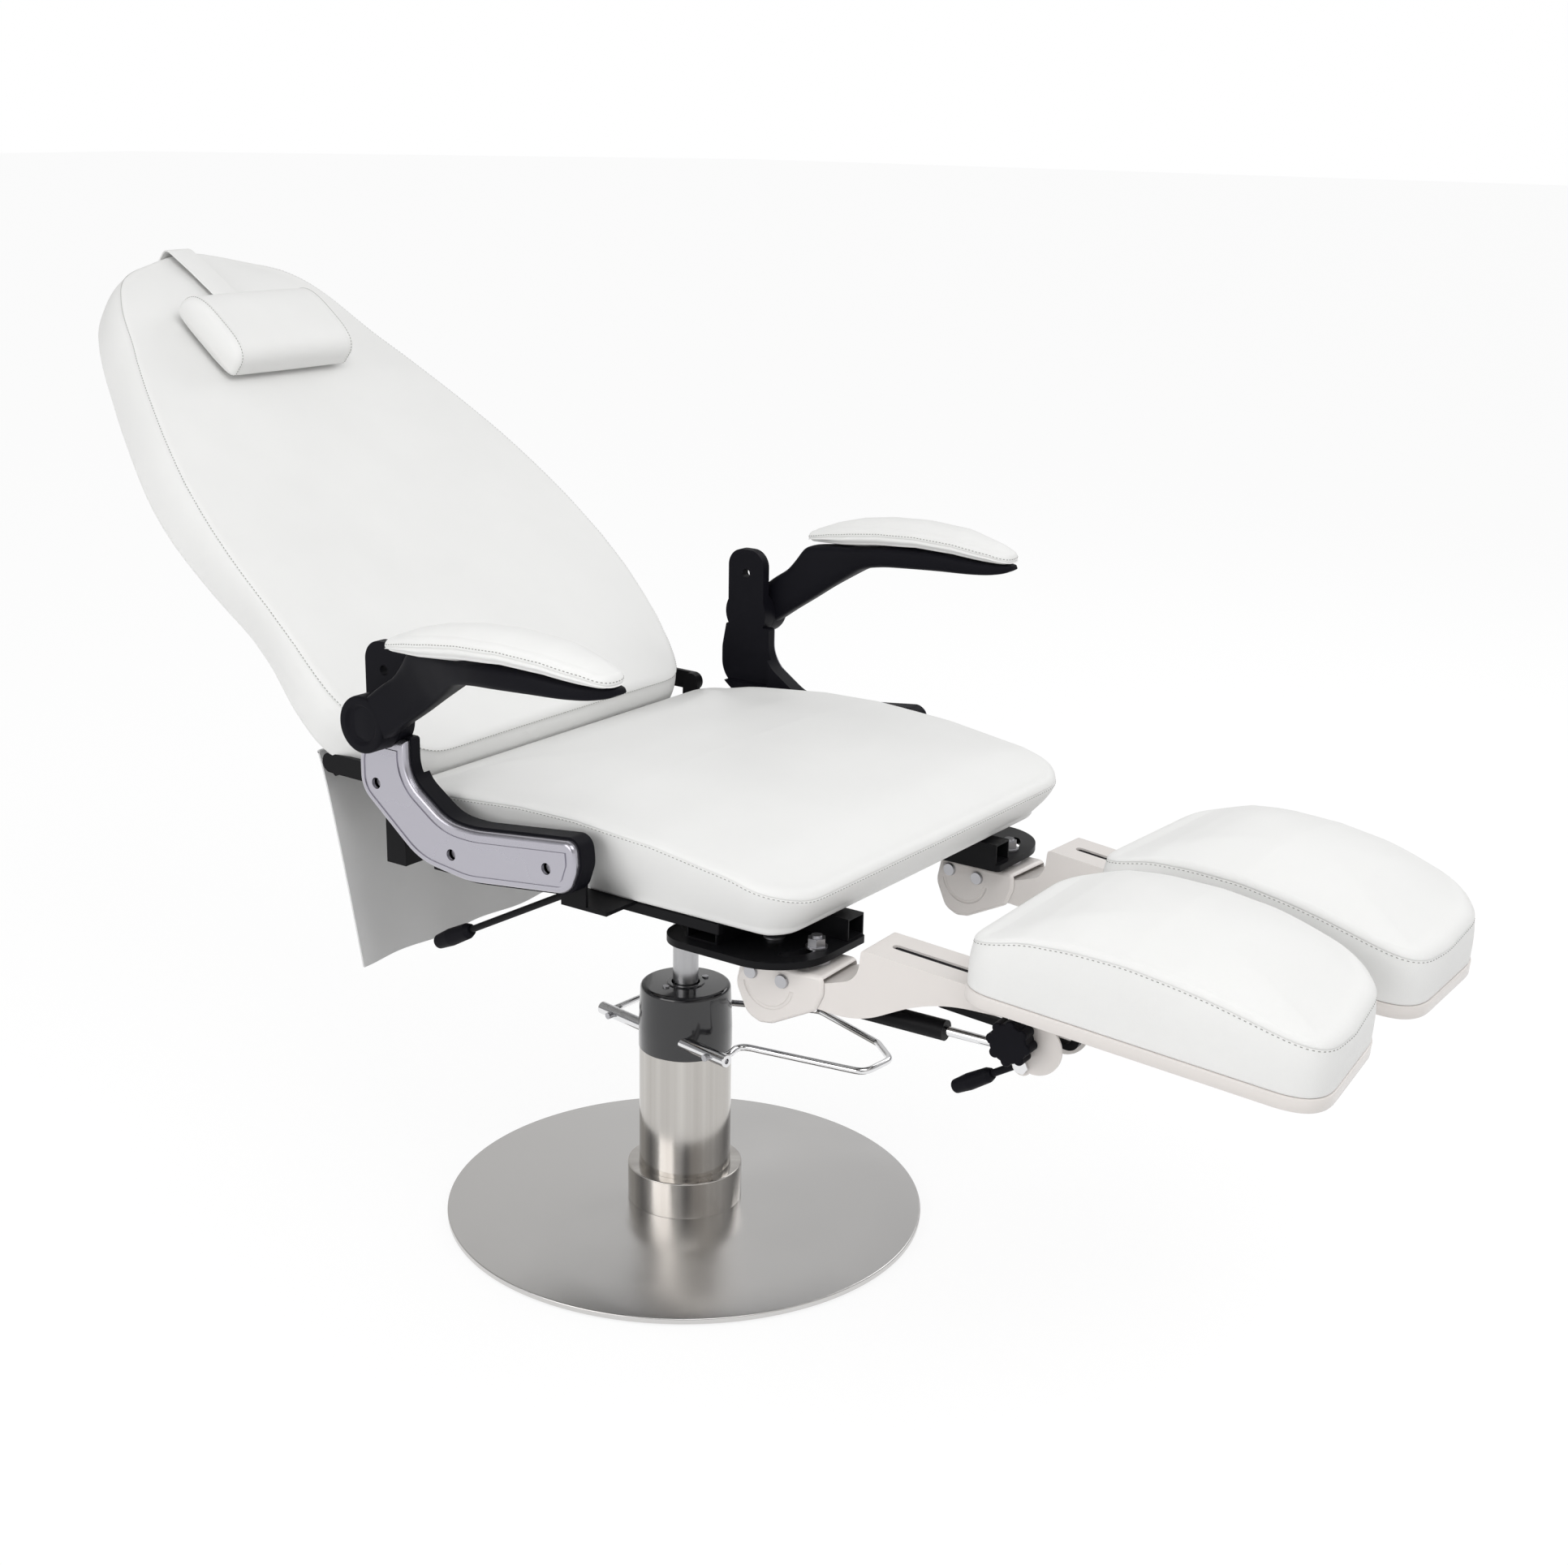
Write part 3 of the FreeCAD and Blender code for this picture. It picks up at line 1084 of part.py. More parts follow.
def make_back_frame():
    """Two long tubes and a cross tube under the board, with the spring's lever."""
    tube = d.back_tube
    wall = d.rail_wall
    low = -d.back_depth - d.running_gap - tube
    pieces = []
    for sign in (1, -1):
        y = sign * d.back_tube_offset - tube / 2
        outer = Part.makeBox(d.back_tube_high - d.back_tube_low, tube, tube,
                             Vector(d.back_tube_low, y, low))
        inner = Part.makeBox(d.back_tube_high - d.back_tube_low - 2 * wall, tube - 2 * wall,
                             tube - 2 * wall, Vector(d.back_tube_low + wall, y + wall, low + wall))
        pieces.append(outer.cut(inner))
    reach = d.hinge_inner + d.hinge_plate + d.fit_gap
    gap = d.back_tube_offset - tube / 2
    side = d.back_tube_offset + tube / 2
    for start, end in ((-gap, gap), (side, reach), (-reach, -side)):
        cross = Part.makeBox(tube, end - start, tube, Vector(d.back_tube_low, start, low))
        hole = Part.makeBox(tube - 2 * wall, end - start - 2 * wall, tube - 2 * wall,
                            Vector(d.back_tube_low + wall, start + wall, low + wall))
        pieces.append(cross.cut(hole))
    top = Part.makeBox(tube, 2 * gap, tube, Vector(d.back_tube_high - tube, -gap, low))
    pieces.append(top)
    place = back_place().toMatrix()
    pieces = [piece.transformGeometry(place) for piece in pieces]
    start = back_point(d.back_tube_low + tube / 2, d.back_depth + tube / 2)
    half = d.eye_width / 2 + d.ear_gap
    for sign in (1, -1):
        y = d.spring_offset + sign * (half + d.fork_plate / 2)
        pieces.append(link_plate(Vector(start.x, y, start.z),
                                 Vector(d.spring_rear_x, y, d.spring_rear_z),
                                 d.fork_plate, d.eye_radius * 0.8))
    frame = pieces[0]
    frame = frame.multiFuse(pieces[1:])
    node(feature("back_frame_shape", frame), "back_frame")


def link_plate(start, end, thickness, half):
    """A flat plate with round ends between two points of one plane across."""
    run = end - start
    length = run.Length
    outline = [(-half, -half, half * 0.98), (length + half, -half, half * 0.98),
               (length + half, half, half * 0.98), (-half, half, half * 0.98)]
    plate = side_prism(outline, -thickness / 2, thickness / 2)
    plate.rotate(ORIGIN, Y_AXIS, -math.degrees(math.atan2(run.z, run.x)))
    plate.translate(start)
    return plate


def make_back_hinges():
    """Plates outside the uprights, from the recline pins to the back frame."""
    plates = []
    tube = d.back_tube
    half = d.hinge_width / 2
    corner = back_point(d.back_tube_low + tube / 2, d.back_depth + tube / 2)
    for name, sign in SIDES:
        y = d.hinge_inner + d.hinge_plate + d.fit_gap
        middle = y + d.hinge_plate / 2
        plate = link_plate(Vector(d.hinge_x, middle, d.hinge_z),
                           Vector(corner.x, middle, corner.z), d.hinge_plate, half)
        plate = plate.cut(disc(d.hinge_radius + d.running_gap, y - d.overrun,
                               y + d.hinge_plate + d.overrun, d.hinge_x, d.hinge_z))
        plates.append(plate if sign > 0 else plate.mirror(ORIGIN, Y_AXIS))
    node(group("back_hinge_pair", plates), "back_hinge_plates")


def make_head_pieces(padding):
    """The pillow on the face, and the strap that goes over the backrest's top."""
    place = back_place()
    wires = []
    for share, width in ((-1, 0.6), (-0.93, 0.82), (-0.78, 0.95), (-0.4, 1), (0.4, 1),
                         (0.78, 0.95), (0.93, 0.82), (1, 0.6)):
        spot = Vector(d.pillow_middle, d.pillow_half * share,
                      3 * d.fit_gap + d.strap_wall)
        wires.append(small_section(spot, X_AXIS, Z_AXIS, d.pillow_length / 2 * (0.7 + 0.3 * width),
                                   d.pillow_height * 0.6 * width, d.pillow_height * width))
    pillow = feature("head_pillow_shape", Part.makeLoft(wires, True, False))
    node(moved(pillow, place), "head_pillow")
    wall = d.strap_wall
    gap = 2 * d.fit_gap
    low = d.pillow_middle - d.pillow_length / 2
    depth = d.back_depth + gap
    end = d.back_length + gap
    turn = d.back_depth / 2
    drop = d.back_depth * 0.075
    outline = [
        (low, gap, 0), (low, gap + wall, 0),
        (end - turn, gap + wall, turn), (end + wall, -drop, 2 * wall),
        (end + wall, -depth - wall, 2 * wall), (d.back_tube_high, -depth - wall, 0),
        (d.back_tube_high, -depth, 0), (end, -depth, wall),
        (end, -drop, wall), (end - turn, gap, turn),
    ]
    room = padding.copy()
    room.translate(Vector(d.fit_gap, 0, d.fit_gap))
    strap = largest(side_prism(outline, -d.strap_half, d.strap_half).cut(room))
    strap = feature("head_strap_shape", strap)
    node(moved(strap, place), "head_strap")


def make_skirt():
    """A stiff vinyl flap that hangs from the back frame, with three soft folds."""
    run = d.skirt_foot_x - d.skirt_top_x
    fall = d.skirt_top_z - d.skirt_foot_z
    wires = []
    for share in (0.0, 0.3, 0.6, 1.0):
        wave = d.skirt_wall * 1.5 * share
        x = d.skirt_top_x + run * (share ** 0.85)
        z = d.skirt_top_z - fall * share
        front = []
        rear = []
        for number in range(9):
            y = -d.skirt_half + d.skirt_half * number / 4
            bend = wave * math.cos(math.pi * number)
            front.append(Vector(x + bend + d.skirt_wall / 2, y, z))
            rear.append(Vector(x + bend - d.skirt_wall / 2, y, z))
        edges = wavy(front) + [Part.LineSegment(front[-1], rear[-1]).toShape()]
        edges += wavy(list(reversed(rear)))
        edges.append(Part.LineSegment(rear[0], front[0]).toShape())
        wires.append(Part.Wire(edges))
    bead = disc(d.skirt_bead, -d.skirt_half, d.skirt_half, d.skirt_top_x, d.skirt_top_z)
    skirt = Part.makeLoft(wires, True, False).fuse(bead)
    node(feature("back_skirt_shape", skirt), "back_skirt")


def wavy(points):
    """Arcs through every second point."""
    edges = []
    for index in range(0, len(points) - 2, 2):
        start, middle, end = points[index:index + 3]
        bulge = (middle - (start + end) / 2).Length
        if bulge < 1e-6:
            edges.append(Part.LineSegment(start, end).toShape())
        else:
            edges.append(Part.Arc(start, middle, end).toShape())
    return edges


# Recline gas spring and its release lever

def make_recline():
    y = d.spring_offset
    front = Vector(d.spring_front_x, y, d.spring_front_z)
    rear = Vector(d.spring_rear_x, y, d.spring_rear_z)
    line = (rear - front)
    length = line.Length
    line = line.normalize()
    shell = bar(d.spring_radius, d.spring_length, rear - line * (d.spring_length
                + d.eye_radius), line)
    bore = bar(d.spring_rod + d.spring_fit, d.spring_length - d.overrun,
               rear - line * (d.spring_length + d.eye_radius), line)
    eye = disc(d.eye_radius, y - d.eye_width / 2, y + d.eye_width / 2, rear.x, rear.z)
    cylinder = shell.fuse(eye).cut(bore)
    node(feature("recline_cylinder_shape", cylinder), "recline_cylinder")
    rod_length = length - d.eye_radius - d.overrun - d.grip_length
    stem = bar(d.spring_rod, rod_length, front, line)
    head = disc(d.eye_radius, y - d.eye_width / 2, y + d.eye_width / 2, front.x, front.z)
    pieces = [stem]
    cross = Part.makeBox(2 * d.eye_radius, d.rail_offset - y + d.rail_width / 2,
                         d.strap_height, Vector(front.x - d.eye_radius, y - d.eye_width,
                                                d.frame_low - d.strap_height))
    hanger = Part.makeBox(2 * d.eye_radius, d.fork_plate, d.frame_low - d.strap_height
                          - front.z + d.eye_radius,
                          Vector(front.x - d.eye_radius, y + d.eye_width / 2,
                                 front.z - d.eye_radius))
    pieces += [head, hanger, cross]
    whole = pieces[0].multiFuse(pieces[1:])
    node(feature("recline_rod_shape", whole), "recline_rod")


def lever_line(slope):
    angle = math.radians(slope)
    return Vector(-math.cos(angle), 0, -math.sin(angle))


def grip_shape(start, line, length, radius):
    """A grip: a slim neck that swells to a rounded end."""
    outline = [
        (0, 0, 0), (radius * 0.62, 0, radius * 0.2), (radius * 0.9, length * 0.12, length * 0.1),
        (radius, length * 0.6, length * 0.2), (radius * 0.8, length, radius * 0.6),
        (0, length, 0),
    ]
    wire = Part.Wire([piece.toShape() for piece in rounded(outline)])
    wire.rotate(ORIGIN, X_AXIS, 90)
    solid = Part.Face(wire).revolve(ORIGIN, Z_AXIS, 360)
    solid.Placement = Placement(start, Rotation(Z_AXIS, line))
    return solid


def make_recline_lever():
    y = -d.lever_offset
    centre = Vector(d.lever_x, y, d.lever_z)
    line = lever_line(d.lever_slope)
    shaft = bar(d.lever_shaft, d.lever_offset - d.rail_offset + d.rail_width / 2,
                centre, Y_AXIS)
    hub = bar(2 * d.lever_shaft, 2 * d.lever_shaft, centre - Y_AXIS * d.lever_shaft, Y_AXIS)
    stem = bar(d.lever_rod, d.lever_length, centre, line)
    node(feature("recline_lever_shape", shaft.multiFuse([hub, stem])), "recline_lever")
    start = centre + line * d.lever_length
    grip = grip_shape(start, line, d.grip_length, d.grip_radius)
    node(feature("recline_grip_shape", grip), "recline_grip")


# Leg supports, built along X from the swing pivot and then turned into place

BRACKET_SHARES = (
    (0.06, 1.0, 0.05), (0.0, 0.56, 0.3), (0.13, 0.1, 0.3), (0.28, 0.0, 0.2),
    (0.42, 0.03, 0.2), (0.9, 0.42, 0.1), (0.98, 0.7, 0.2), (0.98, 1.0, 0.1),
)
LEG_SHARES = (
    (0.0, 0.34, 0.05), (0.0, 0.16, 0.05), (0.045, 0.0, 0.15), (0.248, 0.0, 1.35),
    (0.463, 0.634, 2.4), (1.0, 0.893, 0.0), (1.0, 1.0, 0.0), (0.239, 1.0, 0.05),
    (0.237, 0.572, 0.4), (0.12, 0.34, 0.3),
)


def leg_place(sign, tilted):
    """Where a leg support's own axes lie on the chair."""
    turn = Placement(Vector(d.swing_x, sign * d.swing_y, 0),
                     Rotation(Z_AXIS, -sign * d.leg_toe))
    if not tilted:
        return turn
    pivot = Vector(d.tilt_x, 0, d.tilt_z)
    tilt = Placement(ORIGIN, Rotation(Y_AXIS, d.leg_slope), pivot)
    return turn.multiply(tilt)


def leg_node(name, label, shape, sign, tilted):
    item = feature("%s_%s_shape" % (name, label), shape)
    node(moved(item, leg_place(sign, tilted)), "%s_%s" % (name, label))


def leg_bracket(sign):
    """A folded bracket: two swept side walls under one top, with a pressed scoop."""
    outline = shared(BRACKET_SHARES, d.bracket_rear, d.bracket_run, d.bracket_low,
                     d.bracket_rise, d.bracket_rise)
    outer = side_prism(outline, -d.bracket_half, d.bracket_half)
    top = d.bracket_low + d.bracket_rise
    edges = [edge for edge in outer.Edges
             if edge.BoundBox.ZMin > top - 0.01 and abs(edge.BoundBox.YLength) < 0.01]
    outer = outer.makeFillet(d.bracket_round, edges)
    inner = d.bracket_half - d.bracket_wall
    pocket = Part.makeBox(d.bracket_run * 2, 2 * inner, d.bracket_rise,
                          Vector(d.bracket_rear - d.bracket_run / 2, -inner,
                                 top - d.bracket_wall - d.bracket_rise))
    bracket = outer.cut(pocket)
    scoop = Part.makeTorus(d.bracket_rise * 0.42, d.bracket_wall * 0.8,
                           Vector(d.bracket_rear + d.bracket_run * 0.38, 0,
                                  d.bracket_low + d.bracket_rise * 0.72), Y_AXIS,
                           0, 360, 360)
    lower = Part.makeBox(d.bracket_run, d.bracket_run, d.bracket_rise * 0.72,
                         Vector(d.bracket_rear - d.overrun, -d.bracket_run / 2,
                                d.bracket_low - d.overrun))
    for side in (1, -1):
        ring = scoop.copy()
        ring.translate(Vector(0, side * (d.bracket_half + d.bracket_wall * 0.35), 0))
        bracket = bracket.cut(ring.common(lower))
    for x in (0, d.slot_radius):
        bracket = bracket.cut(bar(d.bolt_radius + d.running_gap, d.bracket_wall + d.overrun,
                                  Vector(x, 0, top - d.bracket_wall - d.overrun), Z_AXIS))
    pin_hole = disc(d.tilt_radius + d.running_gap, -d.bracket_half - d.overrun,
                    d.bracket_half + d.overrun, d.tilt_x, d.tilt_z)
    return bracket.cut(pin_hole)


def hexagon(radius, height, place):
    nut = Part.Face(Part.makePolygon([
        place + Vector(math.cos(math.radians(60 * k)), math.sin(math.radians(60 * k)), 0)
        * radius for k in range(7)])).extrude(Vector(0, 0, height))
    return nut


def leg_bolts():
    """Swing pivot and clamp bolt with their spacers and nuts, and the tilt pin."""
    top = d.bracket_low + d.bracket_rise
    plate_top = d.frame_low
    plate_low = d.frame_low - d.plate_height
    pieces = []
    for x in (0, d.slot_radius):
        spot = Vector(x, 0, top - d.bracket_wall)
        stem = bar(d.bolt_radius, plate_top + d.washer_height + d.fit_gap
                   + (d.nut_height + d.bolt_radius / 2 if x else 0) - spot.z, spot, Z_AXIS)
        spacer = bar(d.spacer_radius, plate_low - d.fit_gap - top, Vector(x, 0, top), Z_AXIS)
        washer = bar(d.washer_radius, d.washer_height,
                     Vector(x, 0, plate_top + d.fit_gap), Z_AXIS)
        parts = [stem, spacer, washer]
        if x:
            parts.append(hexagon(d.nut_radius, d.nut_height,
                                 Vector(x, 0, plate_top + d.fit_gap + d.washer_height)))
        pieces.append(parts[0].multiFuse(parts[1:]))
    pin = disc(d.tilt_radius, -d.bracket_half, d.bracket_half, d.tilt_x, d.tilt_z)
    heads = []
    for side in (1, -1):
        for x, z in ((d.tilt_x, d.tilt_z), (-d.tilt_radius, d.tilt_z + d.tilt_radius / 2)):
            middle = Vector(x, side * d.bracket_half, z)
            dome = Part.makeSphere(1.6 * d.tilt_radius, middle)
            flat = Part.makeBox(4 * d.tilt_radius, 0.7 * d.tilt_radius, 4 * d.tilt_radius,
                                Vector(x - 2 * d.tilt_radius, min(side * d.bracket_half, side
                                       * (d.bracket_half + 0.7 * d.tilt_radius)),
                                       z - 2 * d.tilt_radius))
            heads.append(dome.common(flat))
    pin = pin.multiFuse([heads[0], heads[2]])
    pieces += [pin, heads[1], heads[3]]
    return Part.makeCompound(pieces)


def leg_arm():
    """A folded channel with a swan neck, a long slot on top and two ear plates."""
    outline = shared(LEG_SHARES, d.leg_rear, d.leg_run, d.leg_low, d.leg_rise, d.leg_rise)
    outer = side_prism(outline, -d.leg_half, d.leg_half)
    inner_half = d.leg_half - d.leg_wall
    inner = side_prism([(x + d.leg_wall, z - d.leg_wall, r) for x, z, r in outline],
                       -inner_half, inner_half)
    arm = outer.cut(inner)
    ears = []
    for side in (1, -1):
        start = side * d.leg_half - (d.leg_wall if side > 0 else 0)
        ears.append(disc(d.ear_radius, start, start + d.leg_wall, d.ear_x, d.ear_z))
        ears.append(disc(d.ear_boss, start, start + d.leg_wall, d.eye_x, d.eye_z))
    arm = arm.multiFuse(ears).removeSplitter()
    slot = prism([
        (d.leg_slot_start, -d.leg_slot, d.leg_slot * 0.98),
        (d.leg_slot_start + d.leg_slot_length, -d.leg_slot, 0),
        (d.leg_slot_start + d.leg_slot_length, d.leg_slot, 0),
        (d.leg_slot_start, d.leg_slot, d.leg_slot * 0.98),
    ], d.leg_rise)
    slot.translate(Vector(0, 0, d.leg_low + d.leg_rise * 0.7))
    arm = arm.cut(slot)
    arm = arm.cut(disc(d.tilt_radius + d.running_gap, -d.leg_half - d.overrun,
                       d.leg_half + d.overrun, d.tilt_x, d.tilt_z))
    arm = arm.cut(disc(d.stud_radius + d.running_gap, -d.leg_half - d.overrun,
                       d.leg_half + d.overrun, d.knob_x, d.knob_z))
    arm = arm.cut(disc(d.spring_rod, -d.leg_half - d.overrun, d.leg_half + d.overrun,
                       d.eye_x, d.eye_z))
    return arm


def leg_spring(part, sign):
    """The gas spring: its rod and pin stay with the arm, its cylinder slides on it."""
    angle = math.radians(d.leg_spring_slope)
    line = Vector(-math.cos(angle), 0, -math.sin(angle))
    pin_place = Vector(d.eye_x, 0, d.eye_z)
    mouth = pin_place + line * d.leg_spring_front
    if part == "cylinder":
        shell = bar(d.spring_radius, d.leg_spring_length, mouth, line)
        end = mouth + line * (d.leg_spring_length + d.eye_radius * 0.6)
        eye = disc(d.eye_radius * 0.7, -d.eye_width / 2, d.eye_width / 2, end.x, end.z)
        bore = bar(d.spring_rod + d.spring_fit, d.leg_spring_length - d.overrun, mouth, line)
        return shell.fuse(eye).cut(bore)
    stem = bar(d.spring_rod, d.leg_spring_front + d.leg_spring_length * 0.4, pin_place, line)
    eye = disc(d.eye_radius * 0.9, -d.eye_width / 2, d.eye_width / 2, d.eye_x, d.eye_z)
    pin = disc(d.spring_rod, -d.leg_half, d.leg_half, d.eye_x, d.eye_z)
    heads = []
    for side in (1, -1):
        head = hexagon(1.7 * d.spring_rod, d.spring_rod * 0.9, ORIGIN)
        head.Placement = Placement(Vector(d.eye_x, side * d.leg_half, d.eye_z),
                                   Rotation(Z_AXIS, Vector(0, side, 0)))
        heads.append(head)
    start = -d.leg_half if sign > 0 else d.leg_half
    stud = disc(d.stud_radius, start, sign * (d.leg_half + d.fit_gap + d.knob_hub
                                              + d.knob_depth / 2), d.knob_x, d.knob_z)
    return Part.makeCompound([stem.multiFuse([eye, pin] + heads), stud])


def tray_outline(sign, inset):
    """The tray from above; its inner front corner runs ahead of its outer one."""
    out = sign * (d.tray_outer - inset)
    inn = -sign * (d.tray_inner - inset)
    rear = d.tray_rear + inset
    front = d.tray_rear + d.tray_run - inset
    corner = d.tray_corner - inset / 2
    points = [(rear, out, corner), (front - d.tray_slant, out, corner),
              (front, inn, corner), (rear, inn, corner)]
    return points if sign < 0 else list(reversed(points))


def tray_level():
    return d.leg_low + d.leg_rise


def leg_tray(sign):
    tray = prism(tray_outline(sign, 0), d.tray_height)
    hollow_wall = prism(tray_outline(sign, 2 * d.leg_wall), d.tray_height)
    hollow_wall.translate(Vector(0, 0, d.leg_wall))
    tray = tray.cut(hollow_wall)
    tray.translate(Vector(0, 0, tray_level() + d.fit_gap))
    return tray


def slide_bar():
    """A slotted bar under the tray that the star knob's stud clamps."""
    high = d.bar_low + d.bar_rise
    turn = d.bar_rise * 0.45
    plate = side_prism([
        (d.bar_rear, d.bar_low, turn), (d.bar_rear + d.bar_run, d.bar_low, turn),
        (d.bar_rear + d.bar_run, high, turn / 2), (d.neck_rear + d.neck_run, high, 0),
        (d.neck_rear + d.neck_run, tray_level() + d.fit_gap, 0),
        (d.neck_rear, tray_level() + d.fit_gap, 0), (d.neck_rear, high, 0),
        (d.bar_rear, high, turn / 2),
    ], -d.bar_half, d.bar_half)
    half = d.stud_radius + d.fit_gap
    rear = d.knob_x - d.travel_ahead - half
    front = d.knob_x + d.travel_back + half
    slot = side_prism([
        (rear, d.knob_z - half, half * 0.98), (front, d.knob_z - half, half * 0.98),
        (front, d.knob_z + half, half * 0.98), (rear, d.knob_z + half, half * 0.98),
    ], -d.bar_half - d.overrun, d.bar_half + d.overrun)
    return plate.cut(slot)


PAD_RISE_SHARES = ((0.0, 0.0), (0.08, 0.1), (0.22, 0.7), (0.37, 1.0), (0.63, 0.88),
                   (0.83, 0.35), (0.97, 0.18), (1.0, 0.1))


def between(pairs, place):
    """The value at a place, read off a table of (place, value) pairs."""
    for (start, low), (end, high) in zip(pairs, pairs[1:]):
        if place <= end:
            return low + (high - low) * (place - start) / (end - start)
    return pairs[-1][1]


def leg_pad(sign):
    """A calf pad: round corners, sides that lean out and a crown along its length."""
    inset = d.pad_inset
    half = (d.tray_outer + d.tray_inner) / 2 - inset
    side = sign * (d.tray_outer - d.tray_inner) / 2
    level = tray_level() + d.fit_gap + d.tray_height
    wires = []
    stations = corner_stations(d.tray_rear + inset, d.tray_run - 2 * inset,
                               d.tray_corner, d.tray_corner)
    for x, draw in stations:
        rise = between(PAD_RISE_SHARES, (x - d.tray_rear) / d.tray_run)
        edge = d.pad_end + (d.pad_edge - d.pad_end) * rise
        crown = edge + d.pad_crown * (0.25 + 0.75 * rise)
        share = (x - d.tray_rear) / d.tray_run
        shear = Vector(d.tray_slant / (2 * half) * -sign * share, -1, 0).normalize()
        wires.append(cushion_section(
            Vector(x - d.tray_slant * share / 2, side, level), shear * -1,
            Z_AXIS, half - draw, half - draw + inset, 0, edge, crown))
    return Part.makeLoft(wires, True, False)


def star_knob(sign):
    """A knob with lobes that turns on the stud through the ear plates."""
    start = sign * (d.leg_half + d.fit_gap + d.knob_hub)
    lobes = int(d.knob_lobe)
    pitch = d.knob_radius * 0.78
    size = d.knob_radius * 0.24
    knob = Part.makeCylinder(d.knob_radius * 0.86, d.knob_depth, ORIGIN, Z_AXIS)
    for number in range(lobes):
        angle = 2 * math.pi * number / lobes
        spot = Vector(math.cos(angle), math.sin(angle), 0) * pitch
        knob = knob.fuse(bar(size, d.knob_depth, spot, Z_AXIS))
    knob = knob.removeSplitter()
    rims = [edge for edge in knob.Edges if edge.BoundBox.ZMin > d.knob_depth - 0.01]
    knob = knob.makeFillet(d.knob_depth * 0.12, rims)
    knob = knob.fuse(bar(d.knob_radius * 0.42, d.knob_hub, ORIGIN, Vector(0, 0, -1)))
    knob = knob.cut(bar(d.stud_radius + d.running_gap, d.knob_hub + d.knob_depth * 0.6,
                        Vector(0, 0, -d.knob_hub), Z_AXIS))
    turn = Rotation(Z_AXIS, Vector(0, sign, 0))
    knob.Placement = Placement(Vector(d.knob_x, start, d.knob_z), turn)
    return knob


def leg_lever(sign):
    """The release lever: a black rod from the spring's head to its grip."""
    y = sign * d.leg_lever_offset
    centre = Vector(d.eye_x, y, d.eye_z)
    line = lever_line(d.leg_lever_slope)
    hub = disc(d.eye_radius * 0.8, y - d.lever_rod, y + d.lever_rod, d.eye_x, d.eye_z)
    hub = hub.cut(disc(d.spring_rod + d.running_gap, y - d.eye_width, y + d.eye_width,
                       d.eye_x, d.eye_z))
    stem = bar(d.lever_rod, d.leg_lever_length - d.eye_radius * 0.7,
               centre + line * d.eye_radius * 0.7, line)
    grip = grip_shape(centre + line * d.leg_lever_length, line, d.grip_length * 0.82,
                      d.grip_radius * 0.86)
    return hub.multiFuse([stem, grip])


def make_legs():
    for name, sign in SIDES:
        leg_node(name, "leg_bracket", leg_bracket(sign), sign, False)
        leg_node(name, "leg_bolts", leg_bolts(), sign, False)
        leg_node(name, "leg_arm", leg_arm(), sign, True)
        leg_node(name, "leg_spring_rod", leg_spring("rod", sign), sign, True)
        leg_node(name, "leg_spring_cylinder", leg_spring("cylinder", sign), sign, True)
        leg_node(name, "leg_tray", leg_tray(sign), sign, True)
        leg_node(name, "leg_slide_bar", slide_bar(), sign, True)
        leg_node(name, "leg_pad", leg_pad(sign), sign, True)
        leg_node(name, "leg_knob", star_knob(sign), sign, True)
        leg_node(name, "leg_lever", leg_lever(sign), sign, True)


def check_and_write():
    """Every object is sound before anything is written."""
    doc.recompute()
    for item in doc.Objects:
        if "Invalid" in item.State or "Error" in item.State:
            raise RuntimeError("failed object: " + item.Name)
    labels = [item.Label for item in NODES]
    if len(labels) != len(set(labels)):
        raise RuntimeError("two sub-parts share a name")
    for item in NODES:
        if item.Shape.isNull() or not item.Shape.isValid():
            raise RuntimeError("bad shape: " + item.Label)
    os.makedirs("parts", exist_ok=True)
    for item in NODES:
        item.Shape.exportStep(os.path.join("parts", item.Label + ".step"))
        print(item.Label, len(item.Shape.Solids), round(item.Shape.Volume))


make_base()
make_pump()
make_pedal()
make_piston()
make_seat_frame()
make_straps()
make_hinge_uprights()
make_arm_supports()
make_armrests()
make_seat()
padding = make_back()
make_back_frame()
make_back_hinges()
make_head_pieces(padding)
make_skirt()
make_recline()
make_recline_lever()
make_legs()
check_and_write()
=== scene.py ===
# %% [markdown]
# This lesson dresses a podiatry chair: a round steel base, a lifting column, a seat, a
# reclining back and two calf supports. The rigid frame comes ready made, in metres, and
# stays where it is. Each cell adds one piece or one finish to it.

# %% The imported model
import json
import math

import bmesh
import bpy
import numpy as np
from mathutils import Matrix


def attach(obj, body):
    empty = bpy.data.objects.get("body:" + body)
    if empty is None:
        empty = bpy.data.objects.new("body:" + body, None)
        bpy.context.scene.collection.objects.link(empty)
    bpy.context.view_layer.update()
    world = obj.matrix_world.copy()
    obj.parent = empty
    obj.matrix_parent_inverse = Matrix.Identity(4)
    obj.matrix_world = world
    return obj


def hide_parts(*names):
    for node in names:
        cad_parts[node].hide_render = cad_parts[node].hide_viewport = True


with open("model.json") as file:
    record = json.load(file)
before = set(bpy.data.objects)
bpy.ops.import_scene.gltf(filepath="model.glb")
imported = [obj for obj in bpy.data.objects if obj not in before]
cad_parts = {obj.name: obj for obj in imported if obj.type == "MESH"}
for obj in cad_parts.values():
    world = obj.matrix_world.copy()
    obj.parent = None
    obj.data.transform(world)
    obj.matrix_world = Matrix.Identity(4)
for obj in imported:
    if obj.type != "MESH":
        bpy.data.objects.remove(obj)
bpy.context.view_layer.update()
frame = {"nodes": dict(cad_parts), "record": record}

MM = 0.001
SIDES = (("right", -1.0), ("left", 1.0))

